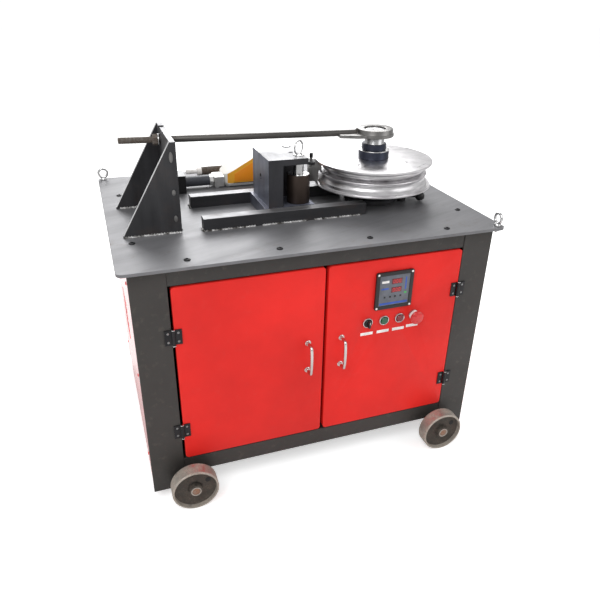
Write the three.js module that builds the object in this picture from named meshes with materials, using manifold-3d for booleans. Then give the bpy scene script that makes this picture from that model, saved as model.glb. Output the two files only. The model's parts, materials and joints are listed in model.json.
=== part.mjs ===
// Powered rotary bender on a wheeled cabinet: a grooved bending die on an upright spindle, a pressure
// roller in a block that slides between two guide rails, and a tie rod that ties the spindle's top back to
// a welded bracket.
// Millimetres. X runs along the front from left to right, Y from the front to the back, and Z up.
// The origin is on the floor under the middle of the cabinet.

import * as THREE from "three";
import { mergeVertices } from "three/addons/utils/BufferGeometryUtils.js";
import Module from "manifold-3d";

const wasm = await Module();
wasm.setup();

// ---------------------------------------------------------------- driving dimensions

const GAP = 0.3; // between pieces that touch
const RUNNING_FIT = 0.5; // radial, round a turning or sliding shaft

const CABINET_W = 1000;
const CABINET_D = 743;
const TABLE_TOP_Z = 724;
const TABLE_T = 8;
const TABLE_OVERHANG = 23.5;
const TABLE_CORNER_R = 16;

const LEG_FACE_W = 90;
const LEG_SIDE_W = 60;
const LEG_T = 5;
const LEG_FOOT_Z = 30.5;
const PANEL_T = 2;
const PANEL_FLANGE = 40;
const FLOOR_PAN_T = 3;
const RAIL_DEPTH = 40;
const RAIL_WALL = 3;
const RAIL_RECESS = 2;
const TOP_RAIL_H = 48;
const BOTTOM_RAIL_H = 52;

const WHEEL_R = 65;
const WHEEL_W = 40;
const WHEEL_STANDOFF = 27; // from the leg's face to the wheel
const WHEEL_RIM_T = 9;
const WHEEL_WEB_T = 12;
const WHEEL_HUB_R = 21;
const WHEEL_HUB_PROUD = 2;
const AXLE_R = 10.5;
const AXLE_INSET = 18.3; // from the edge of the doors' opening to the axle's middle
const AXLE_END = 3; // past the wheel's outer face

const DOOR_T = 2;
const DOOR_DEPTH = 22;
const DOOR_SIDE_GAP = 4.5;
const DOOR_MEETING_GAP = 9.5;
const DOOR_SHIFT = 2.5; // both doors hang this far to the right of the middle
const DOOR_BOTTOM_GAP = 3.7;
const DOOR_TOP_GAP = 4.2;
const DOOR_CORNER_R = 9;

const HINGE_H = 43;
const HINGE_LEAF_W = 22;
const HINGE_LEAF_T = 2.5;
const HINGE_BARREL_R = 4.5;
const LEFT_HINGES = { lower: 98, upper: 136 }; // up from the door's bottom edge, and down from its top edge
const RIGHT_HINGES = { lower: 98.5, upper: 123.5 };

const HANDLE_FROM_MEETING = 49.5; // from the middle of the gap between the doors
const HANDLE_DROP = 265.5; // from the doors' top edge to the handle's middle
const HANDLE_SPAN = 87.5;
const HANDLE_BAR_R = 4.5;
const HANDLE_STANDOFF = 30;
const HANDLE_BEND_R = 8;
const HANDLE_FOOT_R = 8.5;
const HANDLE_FOOT_T = 4;

const CONTROLLER_X = 201;
const CONTROLLER_DROP = 93.5; // from the door's top edge to the controller's middle
const CONTROLLER_SIDE = 113;
const CONTROLLER_PROUD = 7;
const CONTROLLER_BODY = 88;
const CONTROLLER_BODY_DEPTH = 75;
const CONTROLLER_FACE_SIDE = 92;
const CONTROLLER_FACE_SUNK = 2;

const SWITCHES = {
  selector: { x: 129, drop: 188 },
  start: { x: 179.5, drop: 188 },
  stop: { x: 228.5, drop: 188 },
  emergency: { x: 273, drop: 184.5 },
};
const SWITCH_HOLE_R = 11.4;
const SWITCH_STEM_R = 10.6;
const SWITCH_STEM_DEPTH = 34; // behind the door's face
const BUTTON_PROUD = 8;
const SELECTOR_DISC_PROUD = 9;
const SELECTOR_GRIP = { length: 20, width: 6.5, height: 10 };
const ESTOP_HEAD_R = 20;
const ESTOP_HEAD_T = 13;
const ESTOP_PROUD = 30;

const EYE_RING_R = 14; // to the middle of the wire
const EYE_WIRE_R = 4;
const EYE_INSET = EYE_RING_R + EYE_WIRE_R; // the ring is flush with the table's edge
const EYE_COLLAR_R = 10;
const EYE_COLLAR_T = 6;
const EYE_SHANK_R = 4;
const EYE_NUT_R = 7.5;
const EYE_NUT_T = 6.5;

const SPINDLE_X = 271;
const SPINDLE_Y = -47.5;
const SPINDLE_R = 30;
const SPINDLE_NECK_R = 29.2;
const SPINDLE_TOP = 210; // heights from here on are above the table's face unless they say otherwise
const HUB_FLANGE_R = 82;
const HUB_FLANGE_T = 14;
const HUB_R = 54;
const COLLAR_R = 46;
const COLLAR_T = 25.5;
const LOCK_NUT_R = 36.5;
const LOCK_NUT_T = 18;
const HOUSING_FLANGE_R = 105;
const HOUSING_FLANGE_T = 14;
const HOUSING_TUBE_R = 62;
const HOUSING_DEPTH = 112; // below the table

const DIE_BOTTOM = 52;
const DIE_PLATE_R = 177;
const DIE_BASE_T = 4.5;
const LOWER_RING_R = 165;
const LOWER_RING_TOP = 91;
const BEAD_R = 155.5;
const BEAD_ROOT_R = 147;
const BEAD_BOTTOM = 93;
const BEAD_TOP = 111;
const BEAD_STEPS = 4; // straight stretches across the bead's round face
const DIE_NECK_R = 140;
const DIE_TOP_PLATE_T = 7;
const DIE_TOP = 126.5;
const CLAMP_ANGLE = THREE.MathUtils.degToRad(165);
const CLAMP_OUTER_R = 198;
const CLAMP_W = 46;
const CLAMP_BOTTOM = 60;
const CLAMP_PIN_R = 4;
const CLAMP_PIN_TOP = 140;

const GEAR_MODULE = 8;
const GEAR_TEETH = 36;
const PINION_TEETH = 12;
const GEAR_T = 36;
const GEAR_BACKLASH = 0.8;
const GEAR_TOP_BELOW_TABLE = 120;
const PINION_SHAFT_R = 20;
const GEARBOX_SIDE = 180;
const GEARBOX_TOP_BELOW_GEAR = 16;
const GEARBOX_H = 205;
const MOTOR_R = 80;
const ELECTRICS = { x: -230, z: 390, w: 280, h: 360, d: 118 };

const BRACKET_LEFT = -487.6;
const BRACKET_RIGHT = -335.6;
const BRACKET_H = 237.5;
const BRACKET_PLATE_T = 15;
const GUSSET_T = 12;
const GUSSET_SPACING = 225.3; // clear width between the two gussets
const SLOT_CLEARANCE = 3;

const ROD_R = 9;
const ROD_Z = 202;
const ROD_LENGTH = 737; // from the spindle's axis to the threaded end
const ROD_SKEW = THREE.MathUtils.degToRad(6.3);
const ROD_PLATE_R = 56;
const ROD_PLATE_BOTTOM = 192;
const ROD_PLATE_T = 9.5;
const ROD_EYE_R = 53;
const ROD_EYE_TOP = 214;
const ROD_EYE_CLEARANCE = 3;
const ROD_ARM_END = 115; // from the spindle's axis
const ROD_ARM_TIP_W = 50;
const ROD_ARM_SHOULDER = 62; // where the arm reaches its full width, from the spindle's axis
const ROD_ARM_ROOT_W = 80;
const ROD_NUT_FLATS = 27;
const ROD_NUT_T = 16;
const ROD_WASHER_R = 17;
const ROD_WASHER_T = 3;

const GUIDE_LEFT = -280;
const GUIDE_RIGHT = 192;
const GUIDE_W = 32;
const GUIDE_H = 34;
const GUIDE_CENTRE_Y = -72;
const GUIDE_CLEAR_W = 162;

const BLOCK_X = -90; // left face of the roller block
const BLOCK_W = 161;
const BLOCK_ARM_LENGTH = 114;
const BLOCK_WEB_T = 42;
const BLOCK_TOP = 167;
const BLOCK_ARM_T = 17;
const BLOCK_WALL = { right: 24, front: -60, back: -30 }; // under the arm, behind the roller
const BLOCK_HOLE_SIDES = 32;
const CARRIAGE_LEFT_LIP = 11;
const CARRIAGE_LENGTH = 147;
const SCREW_HOLE_R = 8;
const SCREW_HOLE_DEPTH = 20;
const SCREW_HOLE_HEIGHT = 104.5;
const ROLLER_X = 8;
const ROLLER_Y = -113.5;
const ROLLER_R = 33;
const ROLLER_H = 81.5;
const PIN_R = 15;
const PIN_PROUD = 3;
const PIN_RING_R = 19;
const PIN_RING_WIRE_R = 2.6;
const SMALL_HOLE_R = 6;
const SECOND_HOLE = { x: -3, y: -77.5 };
const THIRD_HOLE = { x: 7, y: -9 };

const FOOT_X = -141; // rear end of the foot switch's hood
const FOOT_Y = 176.5; // its near side
const FOOT_LENGTH = 135;
const FOOT_W = 100;
const FOOT_PAD_H = 4;
const FOOT_BASE_T = 8;
const FOOT_BASE_LIP = 3; // behind the hood
const FOOT_TONGUE = { length: 30, w: 56, h: 36, inset: 4 };
const FOOT_CORNER_R = 30; // the rear corners, seen from above
const FOOT_PAD_INSET = 16;
const HOOD_T = 3;
const HOOD_REAR_H = 38;
const HOOD_SHOULDER = { x: 96, z: 90 };
const HOOD_CREST = { x: 122, z: 101 };
const HOOD_MOUTH_H = 94;
const PEDAL_T = 5;
const PEDAL_Z = 25;
const PEDAL_BARREL_R = 5;
const PEDAL_FROM_REAR = 30;
const PEDAL_SIDE_GAP = 4;
const BOX_W = 27;
const BOX_D = 65;
const BOX_H = 56;
const BOX_X = -295;
const BOX_Y = 151.5;
const CONDUIT_R = 16.5;
const SPARE_SCREW = { x: -238, y: 342.5, r: 14, length: 200, tipR: 8, tipLength: 54 };

const STOP_KNOB_R = 14.5;
const STOP_KNOB_X = 403;
const STOP_KNOB_Y = -122;
const STOP_ARM_R = 5;
const STOP_PIVOT_R = 13;
const STOP_PIVOT_H = 26;
const STOP_ARM_LENGTH = 56;
const STOP_ARM_ANGLE = THREE.MathUtils.degToRad(-24);

// ---------------------------------------------------------------- places worked out from them

const LEFT_X = -CABINET_W / 2;
const FRONT_Y = -CABINET_D / 2;
const UNDER_TABLE_Z = TABLE_TOP_Z - TABLE_T - GAP;
const ON_TABLE_Z = TABLE_TOP_Z + GAP;
const BOTTOM_Z = WHEEL_R + AXLE_R + GAP;
const OPENING_HALF = CABINET_W / 2 - LEG_FACE_W; // half the clear width between the legs' faces
const AXLE_X = OPENING_HALF - AXLE_INSET;
const WHEEL_Y = CABINET_D / 2 + WHEEL_STANDOFF + WHEEL_W / 2; // middle of the wheel, either end
const DOOR_Z0 = BOTTOM_Z + BOTTOM_RAIL_H + DOOR_BOTTOM_GAP;
const DOOR_Z1 = UNDER_TABLE_Z - TOP_RAIL_H - DOOR_TOP_GAP;
const HINGE_Y = FRONT_Y - GAP - HINGE_BARREL_R;
const HANDLE_Z = DOOR_Z1 - HANDLE_DROP;
const CONTROLLER_Z = DOOR_Z1 - CONTROLLER_DROP;
const GEAR_R = (GEAR_MODULE * GEAR_TEETH) / 2;
const PINION_R = (GEAR_MODULE * PINION_TEETH) / 2;
const PINION_X = SPINDLE_X - GEAR_R - PINION_R - GEAR_BACKLASH;
const GEAR_Z = TABLE_TOP_Z - GEAR_TOP_BELOW_TABLE - GEAR_T;
const BRACKET_PLATE_LEFT = BRACKET_RIGHT - BRACKET_PLATE_T;
const BRACKET_NEAR_Y = SPINDLE_Y - GUSSET_SPACING / 2;
const BRACKET_FAR_Y = SPINDLE_Y + GUSSET_SPACING / 2;
const GUIDE_FRONT_Y = GUIDE_CENTRE_Y - GUIDE_CLEAR_W / 2;
const GUIDE_BACK_Y = GUIDE_CENTRE_Y + GUIDE_CLEAR_W / 2;
const COLLAR_Z = TABLE_TOP_Z + DIE_TOP + GAP;
const LOCK_NUT_Z = COLLAR_Z + COLLAR_T;
const ROLLER_Z = TABLE_TOP_Z + GUIDE_H + RUNNING_FIT + GAP;

// ---------------------------------------------------------------- shape helpers

// A closed body from a geometry: shared vertices merged, flat triangles dropped, faces turned outwards.
function closed(geometry) {
  const bare = new THREE.BufferGeometry().setAttribute("position", geometry.getAttribute("position"));
  if (geometry.index) bare.setIndex(geometry.index);
  const merged = mergeVertices(bare, 1e-3);
  const points = merged.getAttribute("position");
  const corners = [0, 1, 2].map(() => new THREE.Vector3());
  const kept = [];
  let volume = 0;
  for (let i = 0; i < merged.index.count; i += 3) {
    const [a, b, c] = [0, 1, 2].map((k) => merged.index.getX(i + k));
    if (a === b || b === c || c === a) continue;
    corners.forEach((corner, k) => corner.fromBufferAttribute(points, [a, b, c][k]));
    volume += corners[0].dot(corners[1].cross(corners[2])) / 6;
    kept.push(a, b, c);
  }
  if (volume < 0) kept.reverse();
  merged.setIndex(kept);
  return merged;
}

function solid(geometry) {
  const body = closed(geometry);
  return new wasm.Manifold(
    new wasm.Mesh({
      numProp: 3,
      vertProperties: body.getAttribute("position").array,
      triVerts: new Uint32Array(body.index.array),
    }),
  );
}

function geometryOf(body) {
  const mesh = body.getMesh();
  const geometry = new THREE.BufferGeometry();
  geometry.setAttribute("position", new THREE.BufferAttribute(mesh.vertProperties, 3));
  geometry.setIndex(new THREE.BufferAttribute(mesh.triVerts, 1));
  return geometry;
}

const join = (first, ...others) =>
  geometryOf(others.reduce((body, other) => body.add(solid(other)), solid(first)));
const cut = (first, ...tools) =>
  geometryOf(tools.reduce((body, tool) => body.subtract(solid(tool)), solid(first)));
const shared = (first, second) => geometryOf(solid(first).intersect(solid(second)));

// A box from its low corner to its high corner.
function box(x0, y0, z0, x1, y1, z1) {
  return new THREE.BoxGeometry(x1 - x0, y1 - y0, z1 - z0).translate(
    (x0 + x1) / 2,
    (y0 + y1) / 2,
    (z0 + z1) / 2,
  );
}

// Round bars along each axis: from and to are places on that axis, and a and b the other two places in order.
const barX = (r, from, to, y, z, sides = 20) =>
  new THREE.CylinderGeometry(r, r, to - from, sides).rotateZ(Math.PI / 2).translate((from + to) / 2, y, z);
const barY = (r, from, to, x, z, sides = 20) =>
  new THREE.CylinderGeometry(r, r, to - from, sides).translate(x, (from + to) / 2, z);
const barZ = (r, from, to, x, y, sides = 20) =>
  new THREE.CylinderGeometry(r, r, to - from, sides).rotateX(Math.PI / 2).translate(x, y, (from + to) / 2);

// A turned piece: a profile of [radius, height] points spun about an upright axis.
function turned(profile, x, y, z = 0, sides = 32) {
  const points = profile.map(([r, h]) => new THREE.Vector2(r, h));
  return new THREE.LatheGeometry(points, sides).rotateX(Math.PI / 2).translate(x, y, z);
}

// A ring's profile closes on itself, and a solid turned piece's starts and ends on the axis.
const ring = (profile) => [...profile, profile[0]];

function outline(points) {
  return new THREE.Shape(points.map(([a, b]) => new THREE.Vector2(a, b)));
}

function roundedRectangle(x0, y0, x1, y1, r) {
  const shape = new THREE.Shape();
  shape.moveTo(x0 + r, y0);
  shape.lineTo(x1 - r, y0);
  shape.absarc(x1 - r, y0 + r, r, -Math.PI / 2, 0);
  shape.lineTo(x1, y1 - r);
  shape.absarc(x1 - r, y1 - r, r, 0, Math.PI / 2);
  shape.lineTo(x0 + r, y1);
  shape.absarc(x0 + r, y1 - r, r, Math.PI / 2, Math.PI);
  shape.lineTo(x0, y0 + r);
  shape.absarc(x0 + r, y0 + r, r, Math.PI, 1.5 * Math.PI);
  return shape;
}

// A rectangle whose two corners on the low X side are rounded.
function rearRounded(x0, y0, x1, y1, r) {
  const shape = new THREE.Shape();
  shape.moveTo(x1, y0);
  shape.lineTo(x1, y1);
  shape.lineTo(x0 + r, y1);
  shape.absarc(x0 + r, y1 - r, r, Math.PI / 2, Math.PI);
  shape.lineTo(x0, y0 + r);
  shape.absarc(x0 + r, y0 + r, r, Math.PI, 1.5 * Math.PI);
  return shape;
}

// Plates with their outline in the XY plane, growing up, and in the XZ plane, growing back.
const plateXY = (shape, z0, z1, curveSegments = 3) =>
  new THREE.ExtrudeGeometry(shape, { depth: z1 - z0, bevelEnabled: false, curveSegments }).translate(0, 0, z0);
const plateXZ = (shape, y0, y1, curveSegments = 3) =>
  new THREE.ExtrudeGeometry(shape, { depth: y1 - y0, bevelEnabled: false, curveSegments })
    .rotateX(Math.PI / 2)
    .translate(0, y1, 0);

// ---------------------------------------------------------------- materials

const finish = (color, roughness, metalness) =>
  new THREE.MeshStandardMaterial({ color, roughness, metalness });
const CHARCOAL_PAINT = finish(0x3c3834, 0.55, 0.2);
const RED_PAINT = finish(0xe2322d, 0.35, 0.1);
const TABLE_PAINT = finish(0x8f9194, 0.4, 0.5);
const DARK_STEEL = finish(0x33343a, 0.5, 0.6);
const BRIGHT_STEEL = finish(0xc9cacc, 0.2, 1);
const POLISHED_STEEL = finish(0xdfe0e2, 0.15, 1);
const BROWN_STEEL = finish(0x4a3f38, 0.5, 0.7);
const CHROME = finish(0xf0f0f0, 0.08, 1);
const CAST_IRON = finish(0x8a7f72, 0.7, 0.6);
const RUSTY_STEEL = finish(0x6e5c50, 0.8, 0.5);
const BLACK_PLASTIC = finish(0x1b1b1d, 0.5, 0);
const CAST_ALUMINIUM = finish(0xe4e4e0, 0.45, 0.8);
const YELLOW_PAINT = finish(0xf4a81c, 0.4, 0.1);
const GREEN_PLASTIC = finish(0x1f7a3f, 0.35, 0);
const RED_PLASTIC = finish(0xb3201c, 0.35, 0);
const GREY_PAINT = finish(0x9aa0a4, 0.5, 0.3);

const bender = new THREE.Group();

function add(name, geometry, material) {
  const mesh = new THREE.Mesh(closed(geometry), material);
  mesh.name = name;
  bender.add(mesh);
  return mesh;
}

// ---------------------------------------------------------------- cabinet

function buildTable() {
  const halfW = CABINET_W / 2 + TABLE_OVERHANG;
  const halfD = CABINET_D / 2 + TABLE_OVERHANG;
  const plate = plateXY(
    roundedRectangle(-halfW, -halfD, halfW, halfD, TABLE_CORNER_R),
    TABLE_TOP_Z - TABLE_T,
    TABLE_TOP_Z,
  );
  const holes = [barZ(SPINDLE_R + 2, 0, 2 * TABLE_TOP_Z, SPINDLE_X, SPINDLE_Y)];
  for (const [x, y] of Object.values(eyePlaces()))
    holes.push(barZ(EYE_SHANK_R + GAP, 0, 2 * TABLE_TOP_Z, x, y, 12));
  add("table_top", cut(plate, ...holes), TABLE_PAINT);
}

// Each leg is an angle whose face covers the edge of the side panel.
function buildLegs() {
  const outer = CABINET_W / 2;
  const flank = outer - PANEL_T - GAP;
  const front = CABINET_D / 2;
  for (const [name, sx, sy] of [
    ["leg_front_left", -1, -1],
    ["leg_front_right", 1, -1],
    ["leg_back_left", -1, 1],
    ["leg_back_right", 1, 1],
  ]) {
    const angle = outline([
      [sx * OPENING_HALF, sy * front],
      [sx * outer, sy * front],
      [sx * outer, sy * (front - LEG_T)],
      [sx * flank, sy * (front - LEG_T)],
      [sx * flank, sy * (front - LEG_SIDE_W)],
      [sx * (flank - LEG_T), sy * (front - LEG_SIDE_W)],
      [sx * (flank - LEG_T), sy * (front - LEG_T)],
      [sx * OPENING_HALF, sy * (front - LEG_T)],
    ]);
    add(name, plateXY(angle, LEG_FOOT_Z, UNDER_TABLE_Z), CHARCOAL_PAINT);
  }
}

function buildFrontRails() {
  const half = OPENING_HALF - GAP;
  const y0 = FRONT_Y + RAIL_RECESS;
  for (const [name, z0, height] of [
    ["front_top_rail", UNDER_TABLE_Z - TOP_RAIL_H, TOP_RAIL_H],
    ["front_bottom_rail", BOTTOM_Z, BOTTOM_RAIL_H],
  ]) {
    const bar = box(-half, y0, z0, half, y0 + RAIL_DEPTH, z0 + height);
    const inside = box(
      -half - 1,
      y0 + RAIL_WALL,
      z0 + RAIL_WALL,
      half + 1,
      y0 + RAIL_DEPTH - RAIL_WALL,
      z0 + height - RAIL_WALL,
    );
    add(name, cut(bar, inside), CHARCOAL_PAINT);
  }
}

function buildPanels() {
  const sheetY = CABINET_D / 2 - LEG_T - GAP;
  const flangeY = CABINET_D / 2 - LEG_SIDE_W - GAP;
  for (const [name, side] of [
    ["left_side_panel", -1],
    ["right_side_panel", 1],
  ]) {
    const outer = (side * CABINET_W) / 2;
    const sheet = box(
      Math.min(outer, outer - side * PANEL_T),
      -sheetY,
      BOTTOM_Z,
      Math.max(outer, outer - side * PANEL_T),
      sheetY,
      UNDER_TABLE_Z,
    );
    const inner = outer - side * (PANEL_T + PANEL_FLANGE);
    const flange = (z0) =>
      box(Math.min(outer, inner), -flangeY, z0, Math.max(outer, inner), flangeY, z0 + PANEL_T);
    const sheetWithEdges = join(sheet, flange(BOTTOM_Z), flange(UNDER_TABLE_Z - PANEL_T));
    add(name, sheetWithEdges, RED_PAINT);
  }
  const half = OPENING_HALF - GAP;
  const backY = -FRONT_Y;
  const sheet = box(-half, backY - PANEL_T, BOTTOM_Z, half, backY, UNDER_TABLE_Z);
  const flange = (z0) => box(-half, backY - PANEL_T - PANEL_FLANGE, z0, half, backY, z0 + PANEL_T);
  add("back_panel", join(sheet, flange(BOTTOM_Z), flange(UNDER_TABLE_Z - PANEL_T)), RED_PAINT);

  const pan = CABINET_W / 2 - PANEL_T - 2 * GAP - LEG_T;
  const panZ = BOTTOM_Z + PANEL_T + GAP;
  add(
    "floor_pan",
    box(-pan, FRONT_Y + RAIL_RECESS + RAIL_DEPTH + GAP, panZ, pan, backY - LEG_T - GAP, panZ + FLOOR_PAN_T),
    CHARCOAL_PAINT,
  );
}

// ---------------------------------------------------------------- doors and what is on them

const doorEdges = (side) => {
  const hingeEdge = DOOR_SHIFT + side * (OPENING_HALF - DOOR_SIDE_GAP);
  const meetingEdge = DOOR_SHIFT + (side * DOOR_MEETING_GAP) / 2;
  return [Math.min(hingeEdge, meetingEdge), Math.max(hingeEdge, meetingEdge)];
};

// The hinges' pins stand over the middle of the gap between each door and its leg.
const hingeX = (side) => DOOR_SHIFT / 2 + side * (OPENING_HALF - DOOR_SIDE_GAP / 2);

function buildDoors() {
  for (const [name, side] of [
    ["left_door", -1],
    ["right_door", 1],
  ]) {
    const [x0, x1] = doorEdges(side);
    const front = roundedRectangle(x0, DOOR_Z0, x1, DOOR_Z1, DOOR_CORNER_R);
    const face = plateXZ(front, FRONT_Y, FRONT_Y + DOOR_DEPTH);
    const inside = plateXZ(
      roundedRectangle(x0 + DOOR_T, DOOR_Z0 + DOOR_T, x1 - DOOR_T, DOOR_Z1 - DOOR_T, DOOR_CORNER_R - DOOR_T),
      FRONT_Y + DOOR_T,
      FRONT_Y + DOOR_DEPTH + 1,
    );
    const cuts = [inside];
    if (side > 0) {
      const half = CONTROLLER_BODY / 2 + 1;
      cuts.push(
        box(
          CONTROLLER_X - half,
          FRONT_Y - 1,
          CONTROLLER_Z - half,
          CONTROLLER_X + half,
          FRONT_Y + DOOR_T + 1,
          CONTROLLER_Z + half,
        ),
      );
      for (const place of Object.values(SWITCHES))
        cuts.push(barY(SWITCH_HOLE_R, FRONT_Y - 1, FRONT_Y + DOOR_T + 1, place.x, DOOR_Z1 - place.drop, 16));
    }
    add(name, cut(face, ...cuts), RED_PAINT);
  }
}

// Each hinge's fixed half: the leaf on the leg, with the barrel and the pin that the door turns on.
function buildHinges() {
  for (const [door, side, hinges] of [
    ["left", -1, LEFT_HINGES],
    ["right", 1, RIGHT_HINGES],
  ])
    for (const [place, z] of [
      ["lower", DOOR_Z0 + hinges.lower],
      ["upper", DOOR_Z1 - hinges.upper],
    ]) {
      const x = hingeX(side);
      const far = x + side * HINGE_LEAF_W;
      const leaf = box(
        Math.min(x, far),
        FRONT_Y - GAP - HINGE_LEAF_T,
        z - HINGE_H / 2,
        Math.max(x, far),
        FRONT_Y - GAP,
        z + HINGE_H / 2,
      );
      const barrel = barZ(HINGE_BARREL_R, z - HINGE_H / 2, z + HINGE_H / 2, x, HINGE_Y, 16);
      add(`${door}_${place}_hinge`, join(leaf, barrel), DARK_STEEL);
    }
}

function buildHandles() {
  const footY = FRONT_Y - GAP;
  const barY0 = footY - HANDLE_STANDOFF;
  for (const [name, side] of [
    ["left_door_handle", -1],
    ["right_door_handle", 1],
  ]) {
    const x = DOOR_SHIFT + side * HANDLE_FROM_MEETING;
    const top = HANDLE_Z + HANDLE_SPAN / 2;
    const bottom = HANDLE_Z - HANDLE_SPAN / 2;
    const path = new THREE.CurvePath();
    const at = (y, z) => new THREE.Vector3(x, y, z);
    path.add(new THREE.LineCurve3(at(footY - 1, bottom), at(barY0 + HANDLE_BEND_R, bottom)));
    path.add(
      new THREE.QuadraticBezierCurve3(
        at(barY0 + HANDLE_BEND_R, bottom),
        at(barY0, bottom),
        at(barY0, bottom + HANDLE_BEND_R),
      ),
    );
    path.add(new THREE.LineCurve3(at(barY0, bottom + HANDLE_BEND_R), at(barY0, top - HANDLE_BEND_R)));
    path.add(
      new THREE.QuadraticBezierCurve3(
        at(barY0, top - HANDLE_BEND_R),
        at(barY0, top),
        at(barY0 + HANDLE_BEND_R, top),
      ),
    );
    path.add(new THREE.LineCurve3(at(barY0 + HANDLE_BEND_R, top), at(footY - 1, top)));
    const section = new THREE.Shape().absarc(0, 0, HANDLE_BAR_R, 0, 2 * Math.PI);
    const bar = new THREE.ExtrudeGeometry(section, { steps: 28, extrudePath: path, curveSegments: 4 });
    const foot = (z) => barY(HANDLE_FOOT_R, footY - HANDLE_FOOT_T, footY, x, z, 16);
    add(name, join(bar, foot(top), foot(bottom)), CHROME);
  }
}

function buildController() {
  const y = FRONT_Y - GAP;
  const half = CONTROLLER_SIDE / 2;
  const bezel = plateXZ(
    roundedRectangle(
      CONTROLLER_X - half,
      CONTROLLER_Z - half,
      CONTROLLER_X + half,
      CONTROLLER_Z + half,
      4,
    ),
    y - CONTROLLER_PROUD,
    y,
    2,
  );
  const square = (side, y0, y1) =>
    box(-side / 2, y0, -side / 2, side / 2, y1, side / 2).translate(CONTROLLER_X, 0, CONTROLLER_Z);
  const rear = square(CONTROLLER_BODY, y - 1, y + CONTROLLER_BODY_DEPTH);
  const faceY = y - CONTROLLER_PROUD;
  const sunk = square(CONTROLLER_FACE_SIDE, faceY - 1, faceY + CONTROLLER_FACE_SUNK);
  add("angle_controller", cut(join(bezel, rear), sunk), BLACK_PLASTIC);
}

function buildSwitches() {
  const back = FRONT_Y + SWITCH_STEM_DEPTH;
  const heightOf = (place) => DOOR_Z1 - place.drop;
  const stem = (place, proud) => barY(SWITCH_STEM_R, FRONT_Y - proud, back, place.x, heightOf(place), 16);
  const { selector, start, stop, emergency } = SWITCHES;
  const grip = SELECTOR_GRIP;
  const gripBar = box(
    selector.x - grip.width / 2,
    FRONT_Y - SELECTOR_DISC_PROUD - grip.height,
    heightOf(selector) - grip.length / 2,
    selector.x + grip.width / 2,
    FRONT_Y - SELECTOR_DISC_PROUD + 1,
    heightOf(selector) + grip.length / 2,
  );
  add("selector_knob", join(stem(selector, SELECTOR_DISC_PROUD), gripBar), BLACK_PLASTIC);
  add("green_button", stem(start, BUTTON_PROUD), GREEN_PLASTIC);
  add("red_button", stem(stop, BUTTON_PROUD), RED_PLASTIC);

  const mushroom = turned(
    [
      [0, 0],
      [ESTOP_HEAD_R - 3, 0],
      [ESTOP_HEAD_R, 3],
      [ESTOP_HEAD_R, ESTOP_HEAD_T - 6],
      [ESTOP_HEAD_R - 6, ESTOP_HEAD_T - 1.5],
      [0, ESTOP_HEAD_T],
    ],
    0,
    0,
    0,
    20,
  )
    .rotateX(Math.PI / 2)
    .translate(emergency.x, FRONT_Y - ESTOP_PROUD + ESTOP_HEAD_T, heightOf(emergency));
  add("emergency_stop", join(stem(emergency, ESTOP_PROUD - ESTOP_HEAD_T + 1), mushroom), RED_PLASTIC);
}

// ---------------------------------------------------------------- wheels, axles and lifting eyes

function buildRunningGear() {
  const face = WHEEL_W / 2;
  const web = WHEEL_WEB_T / 2;
  const hub = face + WHEEL_HUB_PROUD;
  const bore = AXLE_R + RUNNING_FIT;
  const rim = WHEEL_R - WHEEL_RIM_T;
  const profile = ring([
    [bore, -hub],
    [WHEEL_HUB_R, -hub],
    [WHEEL_HUB_R, -web],
    [rim, -web],
    [rim + 2, -face],
    [WHEEL_R - 1.5, -face],
    [WHEEL_R, -face + 1.5],
    [WHEEL_R, face - 1.5],
    [WHEEL_R - 1.5, face],
    [rim + 2, face],
    [rim, web],
    [WHEEL_HUB_R, web],
    [WHEEL_HUB_R, hub],
    [bore, hub],
  ]);
  for (const [sideName, sx] of [
    ["left", -1],
    ["right", 1],
  ]) {
    for (const [endName, sy] of [
      ["front", -1],
      ["back", 1],
    ])
      add(
        `wheel_${endName}_${sideName}`,
        turned(profile, 0, 0, 0, 28).rotateX(Math.PI / 2).translate(sx * AXLE_X, sy * WHEEL_Y, WHEEL_R),
        CAST_IRON,
      );
    const end = WHEEL_Y + face + AXLE_END;
    add(`axle_${sideName}`, barY(AXLE_R, -end, end, sx * AXLE_X, WHEEL_R), RUSTY_STEEL);
  }
}

function eyePlaces() {
  const x = CABINET_W / 2 + TABLE_OVERHANG - EYE_INSET;
  const y = CABINET_D / 2 + TABLE_OVERHANG - EYE_INSET;
  return { back_left: [-x, y], front_right: [x, -y] };
}

function buildLiftingEyes() {
  const ringZ = ON_TABLE_Z + EYE_COLLAR_T + EYE_RING_R + EYE_WIRE_R - 2;
  const under = UNDER_TABLE_Z - EYE_NUT_T;
  for (const [corner, [x, y]] of Object.entries(eyePlaces())) {
    const loop = new THREE.TorusGeometry(EYE_RING_R, EYE_WIRE_R, 8, 18).rotateX(Math.PI / 2);
    if (corner === "front_right") loop.rotateZ(Math.PI / 2);
    const parts = [
      barZ(EYE_COLLAR_R, ON_TABLE_Z, ON_TABLE_Z + EYE_COLLAR_T, x, y, 20),
      barZ(EYE_SHANK_R, under - 4, ON_TABLE_Z + 1, x, y, 12),
      barZ(EYE_NUT_R, under, UNDER_TABLE_Z, x, y, 6),
    ];
    add(`lifting_eye_${corner}`, join(loop.translate(x, y, ringZ), ...parts), BRIGHT_STEEL);
  }
}

// ---------------------------------------------------------------- spindle, die and drive

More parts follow.
